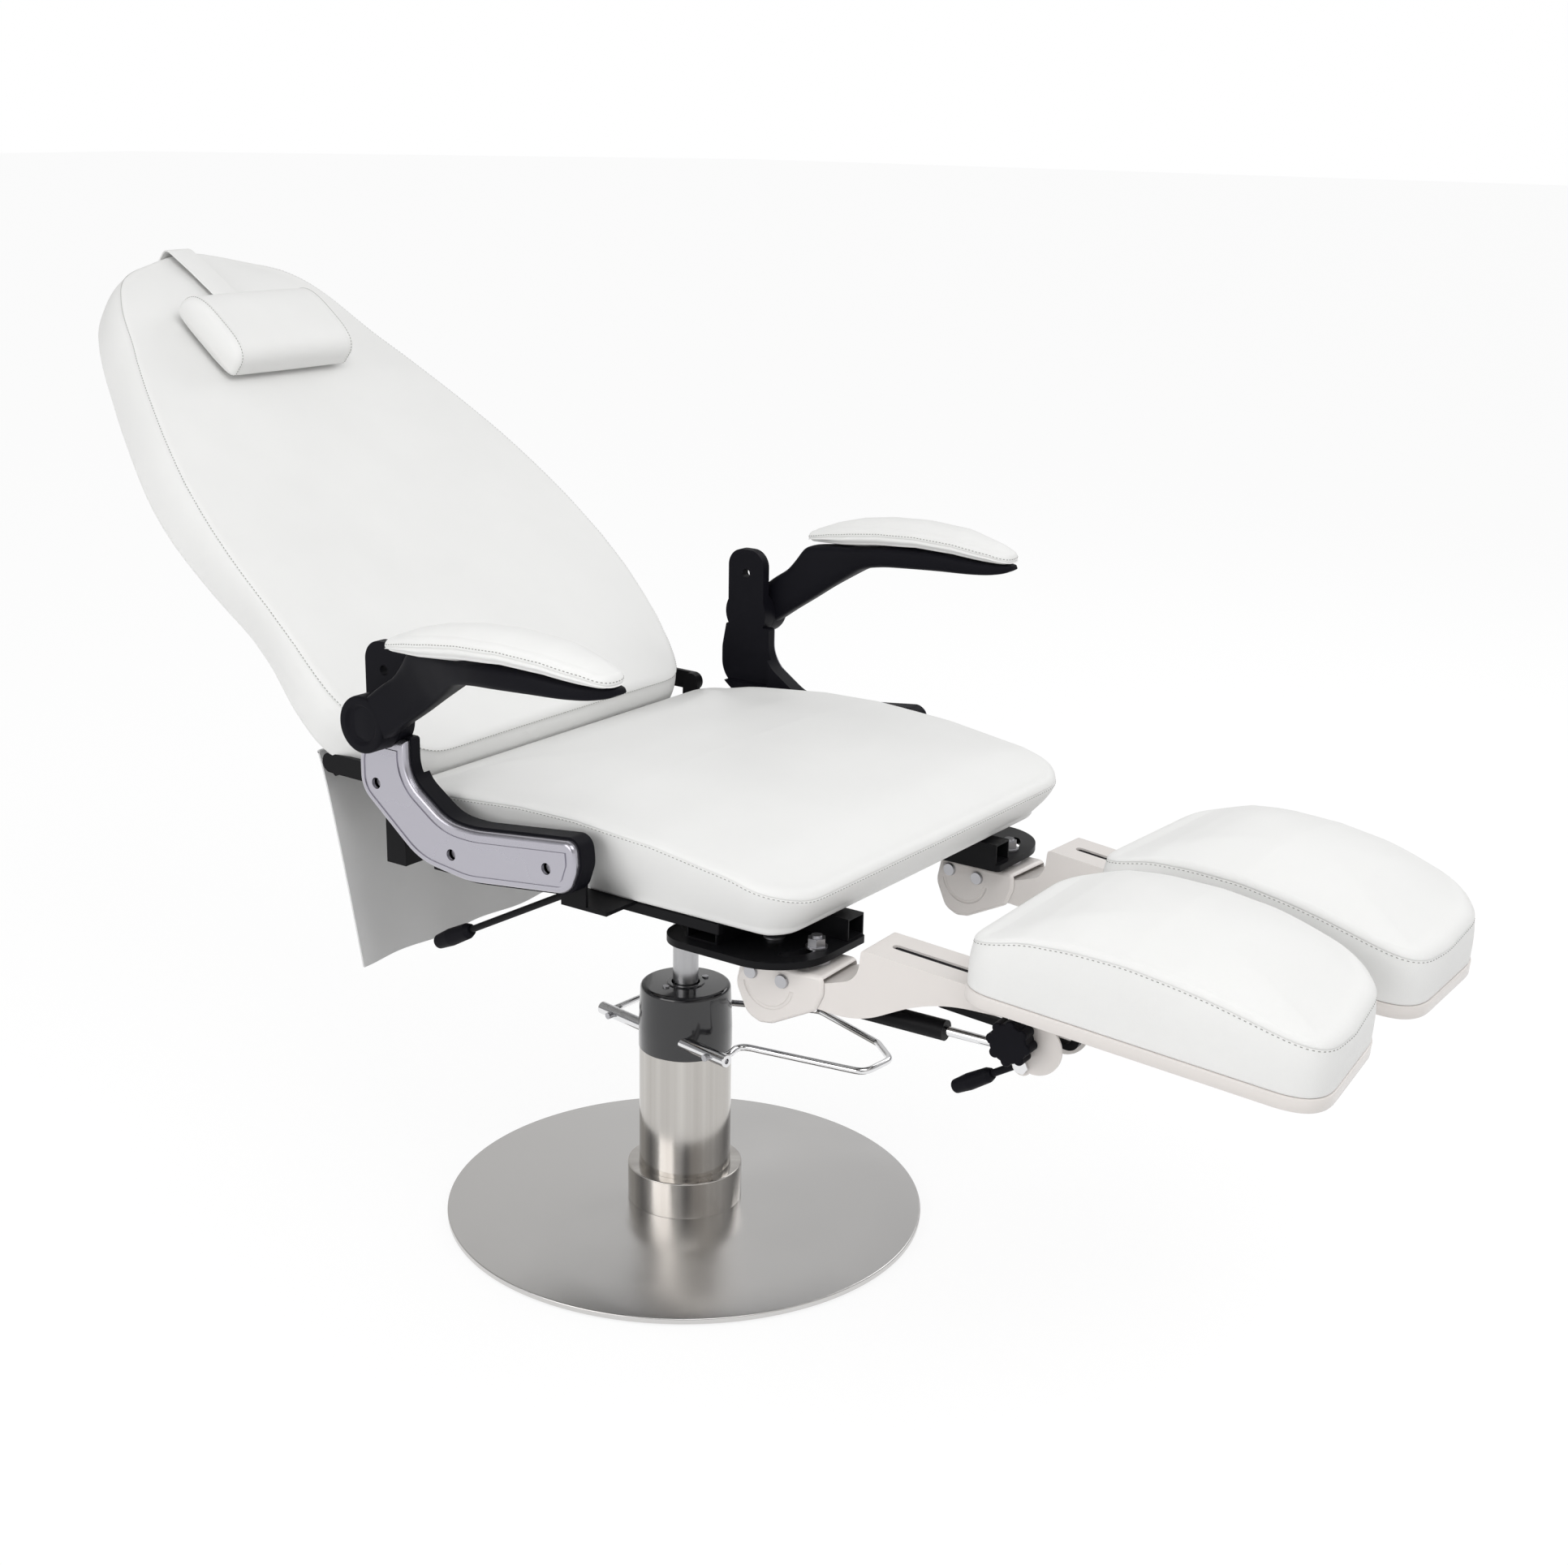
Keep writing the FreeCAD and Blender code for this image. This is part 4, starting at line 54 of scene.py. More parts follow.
# %% [markdown]
# The camera stands where the photographer stood: in front of the chair on the sitter's
# right, at head height, looking 17 degrees down. Its place and lens were worked out from
# the round base and the mirrored pairs of parts, and the image is 1932 by 1928 pixels.

# %% Camera
EYE = np.array([1563.5, -2049.1, 1352.1]) * MM
YAW, PITCH, ROLL = np.radians([125.900, 17.160, 0.729])
FOCAL_PIXELS = 2761.4
IMAGE = (1932, 1928)
MIDDLE_PIXEL = (912.7, 970.3)
SENSOR = 36.0


def stand(name, data, across, upward, backward, spot):
    """A camera or a lamp in the scene: its three axes and its place are one matrix."""
    holder = bpy.data.objects.new(name, data)
    axes = np.eye(4)
    axes[:3] = np.column_stack([across, upward, backward, spot])
    holder.matrix_world = Matrix(axes.tolist())
    bpy.context.scene.collection.objects.link(holder)
    return holder


look = np.array([np.cos(PITCH) * np.cos(YAW), np.cos(PITCH) * np.sin(YAW), -np.sin(PITCH)])
level = np.array([np.sin(YAW), -np.cos(YAW), 0.0])
upright = np.cross(level, look)
right = np.cos(ROLL) * level + np.sin(ROLL) * upright
above = -np.sin(ROLL) * level + np.cos(ROLL) * upright
lens = bpy.data.cameras.new("camera")
lens.sensor_width = SENSOR
lens.lens = SENSOR * FOCAL_PIXELS / IMAGE[0]
lens.shift_x = (IMAGE[0] / 2 - MIDDLE_PIXEL[0]) / IMAGE[0]
lens.shift_y = (MIDDLE_PIXEL[1] - IMAGE[1] / 2) / IMAGE[0]
lens.clip_end = 50
bpy.context.scene.camera = stand("camera", lens, right, above, -look, EYE)
print("lens", round(lens.lens, 2), "mm")

# %% [markdown]
# Every new piece is a surface worked out as one array of points. A grid of points P(u, v)
# becomes quads between neighbours, and a round surface joins its last line to its first.
# Points that fall together at a pole are merged, and the faces are turned outwards.

# %% Grids of points
WELD, SLIVER, TINY = 1e-6, 1e-7, 1e-12
BOTH_WAYS = (True, True)


def grid_faces(rows, columns, round_rows=False, round_columns=False):
    """Quads between neighbouring points of a grid, closed in either direction."""
    index = np.arange(rows * columns).reshape(rows, columns)
    if round_rows:
        index = np.vstack([index, index[:1]])
    if round_columns:
        index = np.hstack([index, index[:, :1]])
    return np.stack([index[:-1, :-1], index[1:, :-1], index[1:, 1:], index[:-1, 1:]],
                    axis=-1).reshape(-1, 4)


def unit(vectors):
    """Vectors scaled to a length of one along the last axis."""
    vectors = np.asarray(vectors, float)
    return vectors / np.maximum(np.linalg.norm(vectors, axis=-1, keepdims=True), TINY)


def add_piece(name, points, body, slot, stands_for=(), finish=None, crease=38,
              loops=(False, True), faces=None):
    """A mesh object on a body, from a grid of points in metres.

    loops says whether its rows and its columns close. Points that coincide are merged,
    and the finish is the slot's own where none is given.
    """
    if faces is None:
        faces = grid_faces(*points.shape[:2], *loops)
    mesh = bpy.data.meshes.new(name)
    mesh.from_pydata(np.reshape(points, (-1, 3)).tolist(), [], np.asarray(faces).tolist())
    shape = bmesh.new()
    shape.from_mesh(mesh)
    bmesh.ops.remove_doubles(shape, verts=shape.verts, dist=WELD)
    bmesh.ops.dissolve_degenerate(shape, dist=SLIVER, edges=shape.edges)
    bmesh.ops.recalc_face_normals(shape, faces=shape.faces)
    shape.to_mesh(mesh)
    shape.free()
    mesh.polygons.foreach_set("use_smooth", np.ones(len(mesh.polygons), dtype=bool))
    mesh.set_sharp_from_angle(angle=math.radians(crease))
    mesh.materials.append(finish or BY_SLOT[slot])
    piece = bpy.data.objects.new(name, mesh)
    bpy.context.scene.collection.objects.link(piece)
    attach(piece, body)
    if stands_for:
        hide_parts(*stands_for)
    print(name, len(mesh.polygons), "faces")
    return piece

# %% [markdown]
# Real edges are never quite sharp. A corner here is a point with a radius, and the line
# bends round it on a parabola that starts and ends that far from the corner. The same
# helper draws the outlines of turned parts, of bent rods and of cushions.

# %% Rounded lines
SIDE_SHARE = 0.49
RIM_SHARE = 0.35
NEARLY_ONE = 0.9999
UP, ASIDE = (0, 0, 1), (0.3, 0.9, 0.2)


def soft_line(corners, closed=True, steps=6):
    """Corners (a, b, radius) in millimetres to a line of points in metres.

    Round each corner C the line is (1-t)^2 A + 2t(1-t) C + t^2 B, where A and B lie on
    the two sides, at the radius over the tangent of half the corner's angle, but before
    the middle of the shorter side.
    """
    corners = np.asarray(corners, float)
    spots, radius = corners[:, :2] * MM, corners[:, 2] * MM
    to_last = np.roll(spots, 1, axis=0) - spots
    to_next = np.roll(spots, -1, axis=0) - spots
    if not closed:
        radius[[0, -1]] = 0
    cosine = np.sum(unit(to_last) * unit(to_next), axis=1)
    half = np.arccos(np.clip(cosine, -NEARLY_ONE, NEARLY_ONE)) / 2
    room = SIDE_SHARE * np.minimum(np.linalg.norm(to_last, axis=1),
                                   np.linalg.norm(to_next, axis=1))
    reach = np.minimum(radius / np.tan(half), room)[:, None]
    start, end = spots + unit(to_last) * reach, spots + unit(to_next) * reach
    share = np.linspace(0, 1, steps)[None, :, None]
    line = ((1 - share) ** 2 * start[:, None] + 2 * share * (1 - share) * spots[:, None]
            + share ** 2 * end[:, None])
    return line.reshape(-1, 2)


def distance_along(line):
    """The way from a line's first point to each of its points."""
    step = np.linalg.norm(np.diff(line, axis=0), axis=1)
    return np.concatenate([[0], np.cumsum(step)])


def rows_at(spots, along, table):
    """New rows of a table, read in line between the rows that lie at the places along."""
    return np.stack([np.interp(spots, along, column) for column in table.T], axis=1)


def evenly(line, count, closed=True):
    """The same line with its points spread evenly along its length."""
    if closed:
        line = np.vstack([line, line[:1]])
    along = distance_along(line)
    keep = np.concatenate([[True], np.diff(along) > TINY])
    spots = np.linspace(0, along[-1], count, endpoint=not closed)
    return rows_at(spots, along[keep], line[keep])


def read(table, place, column=1):
    """A table's column at a place along its first column, between its rows in line."""
    return np.interp(place, table[:, 0], table[:, column])


def smooth_line(line, rounds, closed=True):
    """Each point moved to the mean of itself and its neighbours, several times over."""
    for _ in range(rounds):
        mean = (np.roll(line, 1, axis=0) + 2 * line + np.roll(line, -1, axis=0)) / 4
        if not closed:
            mean[[0, -1]] = line[[0, -1]]
        line = mean
    return line


def ramp(value, start, run, least=0):
    """From the least to 1, in line, over a run from a start."""
    return np.clip((value - start) / run, least, 1)


def hump(value, place, width):
    """A bell: 1 at its place, and e to the -1 a width away from it."""
    return np.exp(-((value - place) / width) ** 2)


def full_turn(sides):
    """Angles spread evenly over a full turn."""
    return np.linspace(0, 2 * np.pi, sides, endpoint=False)


def ring(side, other, sides):
    """side cos a + other sin a, for the angles of a full turn, as one more axis."""
    angle = full_turn(sides)[:, None]
    return side[..., None, :] * np.cos(angle) + other[..., None, :] * np.sin(angle)


def turned(profile, sides, start=(0, 0, 0), along=UP):
    """P(t, a) = start + h(t) along + r(t) (side cos a + other sin a), a full turn.

    profile holds corners (r, h, radius) in millimetres of a closed outline.
    """
    line = soft_line(profile)
    along = unit(along)
    side = unit(np.cross(along, ASIDE if abs(along[2]) > 0.9 else UP))
    return (np.asarray(start) * MM + line[:, None, 1:] * along
            + line[:, None, :1] * ring(side, np.cross(along, side), sides))


def tube(path, radius, sides):
    """P(t, a) = c(t) + r(t) (side cos a + other sin a), closed at both ends.

    side is level and square to the path's direction, and other is square to both.
    """
    ahead = unit(np.gradient(path, axis=0))
    side = unit(np.cross(UP, ahead))
    other = np.cross(ahead, side)
    rim = RIM_SHARE * radius
    path = np.vstack([path[:1], path[:1], path[:1] + ahead[:1] * rim, path[1:-1],
                      path[-1:] - ahead[-1:] * rim, path[-1:], path[-1:]])
    side = np.vstack([side[:1], side[:1], side, side[-1:], side[-1:]])
    other = np.vstack([other[:1], other[:1], other, other[-1:], other[-1:]])
    size = np.concatenate([[0, radius - rim], np.full(len(path) - 4, radius),
                           [radius - rim, 0]])
    return path[:, None] + size[:, None, None] * ring(side, other, sides)

# %% [markdown]
# A finish is a small graph of nodes. Each one mixes a broad, faint change of colour with a
# fine relief, both read from the piece's own coordinates in metres, so the grain has its
# true size on every piece. Values that are the same all over stay on the shader itself.

# %% Tools for finishes
# a Mix node's sockets of the colour kind have no names of their own
MIX_A, MIX_B, MIX_RESULT = 6, 7, 2


def add_node(tree, kind, inputs=None, **settings):
    """A node with its settings, and inputs given as values or as sockets to join."""
    made = tree.nodes.new(kind)
    for name, value in settings.items():
        setattr(made, name, value)
    for name, value in (inputs or {}).items():
        if isinstance(value, bpy.types.NodeSocket):
            tree.links.new(value, made.inputs[name])
        else:
            made.inputs[name].default_value = value
    return made


def shader_of(tree):
    """The one Principled shader of a finish."""
    return tree.nodes["Principled BSDF"]


def feed(tree, value, name):
    """Join a socket to one of the shader's inputs."""
    tree.links.new(value, shader_of(tree).inputs[name])


def start_finish(name, **sockets):
    """A material with one Principled shader; returns it, its tree and its coordinates."""
    material = bpy.data.materials.new(name)
    material.use_nodes = True
    tree = material.node_tree
    for socket, value in sockets.items():
        shader_of(tree).inputs[socket.replace("_", " ")].default_value = value
    return material, tree, add_node(tree, "ShaderNodeTexCoord").outputs["Object"]


def noise(tree, place, scale, detail=2.0):
    """The height of a noise, from 0 to 1, with so many waves to the metre."""
    return add_node(tree, "ShaderNodeTexNoise", {
        "Vector": place, "Scale": scale, "Detail": detail}).outputs["Fac"]


def worked(tree, operation, first, second):
    """A Math node's result; both inputs are values or sockets."""
    return add_node(tree, "ShaderNodeMath", {0: first, 1: second},
                    operation=operation).outputs["Value"]


def mapped(tree, value, low, high, to_low=0.0, to_high=1.0):
    """A value between two limits, moved to between two others."""
    return add_node(tree, "ShaderNodeMapRange", {
        "Value": value, "From Min": low, "From Max": high, "To Min": to_low,
        "To Max": to_high}).outputs["Result"]


def angle_round(tree, place):
    """The angle of a place round the upright axis, as the arc tangent of y over x."""
    part = add_node(tree, "ShaderNodeSeparateXYZ", {"Vector": place})
    return worked(tree, "ARCTAN2", part.outputs["Y"], part.outputs["X"])


def mottle(tree, place, dark, light, scale, roughness):
    """Colour between two near tones and roughness between two values, by broad noise."""
    cloud = noise(tree, place, scale, 4.0)
    colour = add_node(tree, "ShaderNodeMix", {"Factor": cloud}, data_type="RGBA")
    colour.inputs[MIX_A].default_value = (*dark, 1)
    colour.inputs[MIX_B].default_value = (*light, 1)
    feed(tree, colour.outputs[MIX_RESULT], "Base Color")
    feed(tree, mapped(tree, cloud, 0.3, 0.7, *roughness), "Roughness")


def relief(tree, height, distance, strength=1.0):
    """The height of a socket, in shares of a distance, as a bump on the shader."""
    bump = add_node(tree, "ShaderNodeBump",
                    {"Height": height, "Distance": distance, "Strength": strength})
    feed(tree, bump.outputs["Normal"], "Normal")

# %% [markdown]
# The upholstery is off-white vinyl with a fine leather grain. Cells about a millimetre
# wide give the pebbles and a finer noise the pores. The skirt is the same white cloth,
# hanging in the shade, and a greyer copy of the vinyl paints that shade on it.

# %% Vinyl and thread
def vinyl(name, dark, light):
    """Leather grain: pebbles from the distance to the edge of cells, plus pores."""
    material, tree, place = start_finish(name, Specular_IOR_Level=0.42)
    mottle(tree, place, dark, light, 7.0, (0.44, 0.54))
    cells = add_node(tree, "ShaderNodeTexVoronoi", {"Vector": place, "Scale": 780.0},
                     feature="DISTANCE_TO_EDGE")
    pebble = mapped(tree, cells.outputs["Distance"], 0.0, 0.18)
    height = worked(tree, "ADD", pebble, noise(tree, place, 2600.0))
    relief(tree, height, 0.00007, 0.7)
    return material


VINYL = vinyl("white_vinyl_grain", (0.74, 0.74, 0.73), (0.80, 0.80, 0.79))
# a greyer copy of the white vinyl: painted shade for the skirt, which hangs in shade
PAINTED_SHADE_VINYL = vinyl("skirt_vinyl_painted_shade", (0.64, 0.64, 0.64), (0.70, 0.70, 0.70))

# The thread is grey, darker than the real off-white thread: painted shade of the needle
# holes along each seam.
THREAD, tree, place = start_finish("grey_thread_painted_shade", Roughness=0.7)
mottle(tree, place, (0.26, 0.26, 0.25), (0.36, 0.36, 0.34), 900.0, (0.6, 0.8))
twist = add_node(tree, "ShaderNodeTexWave", {"Vector": place, "Scale": 400.0})
relief(tree, twist.outputs["Fac"], 0.0001)
print("vinyl and thread ready")

# %% [markdown]
# Metals: the base disc is stainless steel brushed in circles, so its relief is noise that
# changes fast with the distance from the column and slowly round it. Chrome is nearly a
# mirror, with faint smears. The polished tubes have painted reflection: their colour
# changes with the angle round the column, in upright stripes. Zinc is duller.

# %% Metals
def ring_brushed(name):
    """Brushed in circles: noise of (distance from the axis, angle round it)."""
    material, tree, place = start_finish(
        name, Metallic=1.0, Anisotropic=0.75, Specular_IOR_Level=0.5)
    mottle(tree, place, (0.60, 0.59, 0.58), (0.66, 0.65, 0.64), 9.0, (0.2, 0.27))
    flat = add_node(tree, "ShaderNodeVectorMath", {0: place, 1: (1.0, 1.0, 0.0)},
                    operation="MULTIPLY")
    distance = add_node(tree, "ShaderNodeVectorMath", {0: flat.outputs["Vector"]},
                        operation="LENGTH")
    polar = add_node(tree, "ShaderNodeCombineXYZ", {
        "X": worked(tree, "MULTIPLY", distance.outputs["Value"], 2200.0),
        "Y": angle_round(tree, place)})
    relief(tree, noise(tree, polar.outputs["Vector"], 1.0, 3.0), 0.00003, 0.6)
    tangent = add_node(tree, "ShaderNodeTangent", direction_type="RADIAL", axis="Z")
    feed(tree, tangent.outputs["Tangent"], "Tangent")
    return material


def metal(name, dark, light, roughness, scale, grain=900.0, depth=0.00001, painted_reflection=False):
    """Mottled metal; for painted reflection the mottle is read by angle, in upright
    stripes.
    """
    material, tree, place = start_finish(name, Metallic=1.0)
    spot = place
    # colour read by the angle round the column: upright stripes of painted reflection
    if painted_reflection:
        spot = add_node(tree, "ShaderNodeCombineXYZ",
                        {"X": angle_round(tree, place)}).outputs["Vector"]
    mottle(tree, spot, dark, light, scale, roughness)
    relief(tree, noise(tree, place, grain), depth, 0.5)
    return material


STAINLESS = ring_brushed("brushed_stainless")
# both tubes: upright stripes of painted reflection in their colour
SLEEVE_METAL = metal("chrome_painted_reflection_stripes", (0.30, 0.28, 0.26), (0.72, 0.70, 0.67),
                     (0.10, 0.16), 2.4, 700.0, painted_reflection=True)
LIFT_METAL = metal("satin_lift_tube_painted_reflection", (0.36, 0.36, 0.37), (0.50, 0.50, 0.51),
                   (0.22, 0.28), 1.5, 700.0, painted_reflection=True)
CHROME = metal("polished_chrome", (0.74, 0.74, 0.75), (0.82, 0.82, 0.83), (0.04, 0.09),
               14.0)
ZINC = metal("zinc_plate", (0.42, 0.42, 0.44), (0.52, 0.52, 0.54), (0.3, 0.42), 60.0)
IRON = metal("ballast_iron", (0.10, 0.10, 0.11), (0.16, 0.16, 0.17), (0.5, 0.7), 40.0,
             300.0, 0.0001)

# %% [markdown]
# Plastics and paints: the arms are matte black with a moulded texture, the pump's cap is
# glossy, the covers are a silver lacquer with a faint flake, and the leg supports have a
# warm white powder coat whose orange peel is a few millimetres wide.

# %% Plastics, paints, rubber and board
def coated(name, dark, light, roughness, grain, depth, scale=20.0, **sockets):
    """Mottled paint, plastic or rubber with a moulded or sprayed grain."""
    material, tree, place = start_finish(name, **sockets)
    mottle(tree, place, dark, light, scale, roughness)
    relief(tree, noise(tree, place, grain, 3.0), depth, 0.8)
    return material


ARM_PLASTIC = coated("matte_black_plastic", (0.004, 0.004, 0.006), (0.007, 0.0068, 0.010),
                     (0.42, 0.52), 1400.0, 0.00006, Specular_IOR_Level=0.07)
CAP_PLASTIC = coated("gloss_black_plastic", (0.008, 0.008, 0.010), (0.013, 0.013, 0.015),
                     (0.10, 0.16), 200.0, 0.00001, Coat_Weight=0.5, Coat_Roughness=0.05)
BLACK_STEEL = coated("black_powder_coat", (0.005, 0.005, 0.006), (0.009, 0.009, 0.010),
                     (0.3, 0.42), 500.0, 0.00005, Specular_IOR_Level=0.09)
SILVER = coated("silver_lacquer", (0.45, 0.44, 0.49), (0.46, 0.45, 0.50), (0.25, 0.29),
                2600.0, 0.00001, 6.0, Metallic=0.9, Coat_Weight=0.3, Coat_Roughness=0.12)
WARM_WHITE = coated("warm_white_powder_coat", (0.68, 0.645, 0.62), (0.70, 0.665, 0.64),
                    (0.28, 0.32), 350.0, 0.00004, 6.0, Coat_Weight=0.25,
                    Coat_Roughness=0.12)
RUBBER = coated("floor_rubber", (0.02, 0.02, 0.02), (0.035, 0.035, 0.035), (0.7, 0.85),
                900.0, 0.0001)
BOARD, tree, place = start_finish("plywood_board", Specular_IOR_Level=0.3)
mottle(tree, place, (0.38, 0.26, 0.15), (0.56, 0.42, 0.27), 3.0, (0.6, 0.75))
stretch = add_node(tree, "ShaderNodeMapping", {"Vector": place, "Scale": (30, 900, 900)})
relief(tree, noise(tree, stretch.outputs["Vector"], 1.0, 6.0), 0.0002)
print("finishes", len(bpy.data.materials))

# %% [markdown]
# The plates, tubes, brackets and bolts of the frame already have the right shapes, so they
# keep their meshes. Each gets the finish of its material, and a modifier that merges its
# triangles and smooths the round faces, but leaves folds above 32 degrees sharp.

# %% Finishes of the frame's own pieces
BY_SLOT = {
    "stainless": STAINLESS, "chrome": CHROME, "black_steel": BLACK_STEEL,
    "black_plastic": ARM_PLASTIC, "gloss_black": CAP_PLASTIC, "silver_plastic": SILVER,
    "white_vinyl": VINYL, "warm_white": WARM_WHITE, "board": BOARD,
    "rubber_black": RUBBER, "zinc": ZINC, "dark_iron": IRON,
}
FOLD, TOUCHING = math.radians(32), 0.000005


def smoothing_nodes():
    """Geometry nodes: merge by distance, smooth all faces, sharpen the steep edges."""
    group = bpy.data.node_groups.new("smooth_round_faces", "GeometryNodeTree")
    for way in ("INPUT", "OUTPUT"):
        group.interface.new_socket("Geometry", in_out=way, socket_type="NodeSocketGeometry")
    start = group.nodes.new("NodeGroupInput")
    end = group.nodes.new("NodeGroupOutput")
    merged = add_node(group, "GeometryNodeMergeByDistance",
                      {"Geometry": start.outputs[0], "Distance": TOUCHING})
    smooth = add_node(group, "GeometryNodeSetShadeSmooth",
                      {"Geometry": merged.outputs[0], "Shade Smooth": True}, domain="FACE")
    angle = add_node(group, "GeometryNodeInputMeshEdgeAngle")
    steep = add_node(group, "FunctionNodeCompare", {
        "A": angle.outputs["Unsigned Angle"], "B": FOLD}, operation="GREATER_THAN")
    sharp = add_node(group, "GeometryNodeSetShadeSmooth", {
        "Geometry": smooth.outputs[0], "Selection": steep.outputs[0],
        "Shade Smooth": False}, domain="EDGE")
    group.links.new(sharp.outputs[0], end.inputs[0])
    return group


SMOOTHING = smoothing_nodes()
for row in frame["record"]["subparts"]:
    carried = frame["nodes"][row["node"]]
    if not carried.material_slots:
        carried.data.materials.append(None)
    for holder in carried.material_slots:
        holder.link = "OBJECT"
        holder.material = BY_SLOT[row["material_slot"]]
    carried.modifiers.new("smooth", "NODES").node_group = SMOOTHING

# %% [markdown]
# Base and column are turned on a lathe, so each is one outline swept round the axis. The
# disc rises six millimetres from its rim to a chromed collar, and a polished sleeve
# stands in the collar. The cap above it is black with a rounded shoulder and a low ring
# round the lift rod.

# %% Base, collar, sleeve, cap and lift rod
TURNED_PIECES = (
    ("base_disc", "base", "stainless", None, "base_cover", 192, (
        (29.5, 14, 0), (74, 14, 0), (298, 8.2, 0.5), (298, 3, 0.3), (299.6, 3, 0.3),
        (300, 6, 0.6), (300, 10, 2.2), (240, 11.7, 20), (74, 16, 20), (29.5, 16, 0))),
    ("collar_ring", "base", "chrome", SLEEVE_METAL, "column_collar", 128, (
        (57.5, 16, 0), (72, 16, 0.3), (72, 63.5, 1.6), (57.5, 63.5, 0.3))),
    ("sleeve_tube", "base", "chrome", SLEEVE_METAL, "column_sleeve", 128, (
        (55, 16, 0), (57.5, 16, 0), (57.5, 222, 0.4), (55, 222, 0))),
    ("cap_shell", "base", "gloss_black", None, "pump_cap", 128, (
        (54.3, 222, 0), (58.3, 222, 0.8), (58.3, 250, 30), (56.1, 304, 6), (24, 304, 0.6),
        (23, 305.6, 0.6), (17.6, 305.6, 0.6), (17.6, 300, 0), (52, 300, 2),
        (54.3, 249, 10))),
    ("lift_tube", "piston", "chrome", LIFT_METAL, "lift_rod", 64, (
        (0, 180, 0), (15.8, 180, 1), (15.8, 478, 0.5), (0, 478, 0))),
)
for name, body, slot, finish, stands_for, sides, profile in TURNED_PIECES:
    add_piece(name, turned(profile, sides), body, slot, (stands_for,), finish,
              loops=BOTH_WAYS)

# %% [markdown]
# The pedal is a bent chromed rod pushed through the ends of a shaft. The rod is a circle
# carried along a flat, rounded path, and the shaft is turned about its own axis, with a
# threaded hole in each end. Both are turned a little about the column.

# %% Pedal
PEDAL_TURN = math.radians(-9.6)
PEDAL_OFFSET, PEDAL_HEIGHT = -38, 246.0
ROD_RADIUS = 4.3 * MM
PEDAL_AXIS = np.array([math.cos(PEDAL_TURN), math.sin(PEDAL_TURN), 0.0])
PEDAL_SIDE = np.array([-math.sin(PEDAL_TURN), math.cos(PEDAL_TURN), 0.0])
SHAFT_START = PEDAL_OFFSET * PEDAL_SIDE + np.array([0, 0, PEDAL_HEIGHT])
points = turned((
    (0, -101.6, 0), (3.2, -101.6, 0.3), (3.2, -113.6, 0.5), (8, -113.6, 0.9),
    (8, 113.6, 0.9), (3.2, 113.6, 0.5), (3.2, 101.6, 0.3), (0, 101.6, 0)),
    48, SHAFT_START, PEDAL_AXIS)
add_piece("pedal_shaft", points, "pedal", "chrome", ("pedal_crossbar",), loops=BOTH_WAYS)

route = soft_line((
    (100.6, -42, 0), (100.6, -22, 12), (90, 6.1, 14), (247, 60.1, 17), (243, 111, 17),
    (200, 135.9, 16), (80, 157, 16), (-106, 30.1, 14), (-100.6, -22, 12),
    (-100.6, -42, 0)), closed=False, steps=10)
route = smooth_line(evenly(route, 420, closed=False), 6, closed=False)
path = (route[:, :1] * PEDAL_AXIS + route[:, 1:] * PEDAL_SIDE
        + [0, 0, PEDAL_HEIGHT * MM])
add_piece("pedal_rod", tube(path, ROD_RADIUS, 20), "pedal", "chrome", ("pedal_loop",))

# %% [markdown]
# Each arm rest is a moulded blade on a slanted neck. Its sections are rounded rectangles:
# a section's lower and upper corners lie on two lines read off the side view, and its
# width grows from the neck to the blade. The drum at its root is turned about its pivot
# and has a shallow dish.

# %% Arm shells
PIVOT = (-156.0, 690.0)
ARM_STATIONS = np.array([
    # lower x, lower z, upper x, upper z, inner y, outer y of each section
    (-168, 672, -170, 708, 354.4, 382), (-146, 666, -150, 722, 354.4, 384),
    (-124, 679, -128, 739, 354.4, 384), (-100, 696, -108, 751, 354.6, 384),
    (-72, 714, -94, 768, 355.5, 385), (-45, 733, -82, 786, 357, 388),
    (-22, 748, -50, 789, 359, 396), (-2, 761, -15, 792, 361, 406),
    (14, 767, 20, 796, 361.5, 414), (40, 771, 42, 799, 361, 420),
    (70, 773, 70, 801, 360.5, 424), (119, 776, 119, 802, 361, 425),
    (160, 777, 158, 798, 364, 421), (188, 779, 186, 795, 369, 414),
    (208, 783, 206, 794, 376, 405), (219, 789, 216, 794, 384, 397),
])
ARM_ROWS, ARM_SIDES, ARM_POWER = 110, 48, 0.45


def squared(value, power):
    """A sine or cosine raised to a power under 1, which squares a round section."""
    return np.sign(value) * np.abs(value) ** power


def arm_shell(sign):
    """P(t, a) = middle(t) + c(a) half height(t) + s(a) half width(t).

    c and s are the squared cosine and sine; t runs along the smoothed stations.
    """
    stations = np.arange(len(ARM_STATIONS))
    rows = rows_at(np.linspace(0, stations[-1], ARM_ROWS), stations, ARM_STATIONS)
    rows = smooth_line(rows, 8, closed=False) * MM
    low = np.stack([rows[:, 0], np.zeros(len(rows)), rows[:, 1]], axis=1)
    high = np.stack([rows[:, 2], np.zeros(len(rows)), rows[:, 3]], axis=1)
    across = (rows[:, 4] + rows[:, 5]) / 2
    width = (rows[:, 5] - rows[:, 4]) / 2
    angle = full_turn(ARM_SIDES)
    upward = squared(np.cos(angle), ARM_POWER)[:, None]
    points = (low + high)[:, None] / 2 + (high - low)[:, None] / 2 * upward
    points[..., 1] = across[:, None] + width[:, None] * squared(np.sin(angle), ARM_POWER)
    ends = np.ones(len(rows))
    ends[[0, -1]] = 0
    middle = points.mean(axis=1, keepdims=True)
    points = middle + (points - middle) * ends[:, None, None]
    points[..., 1] *= sign
    return points


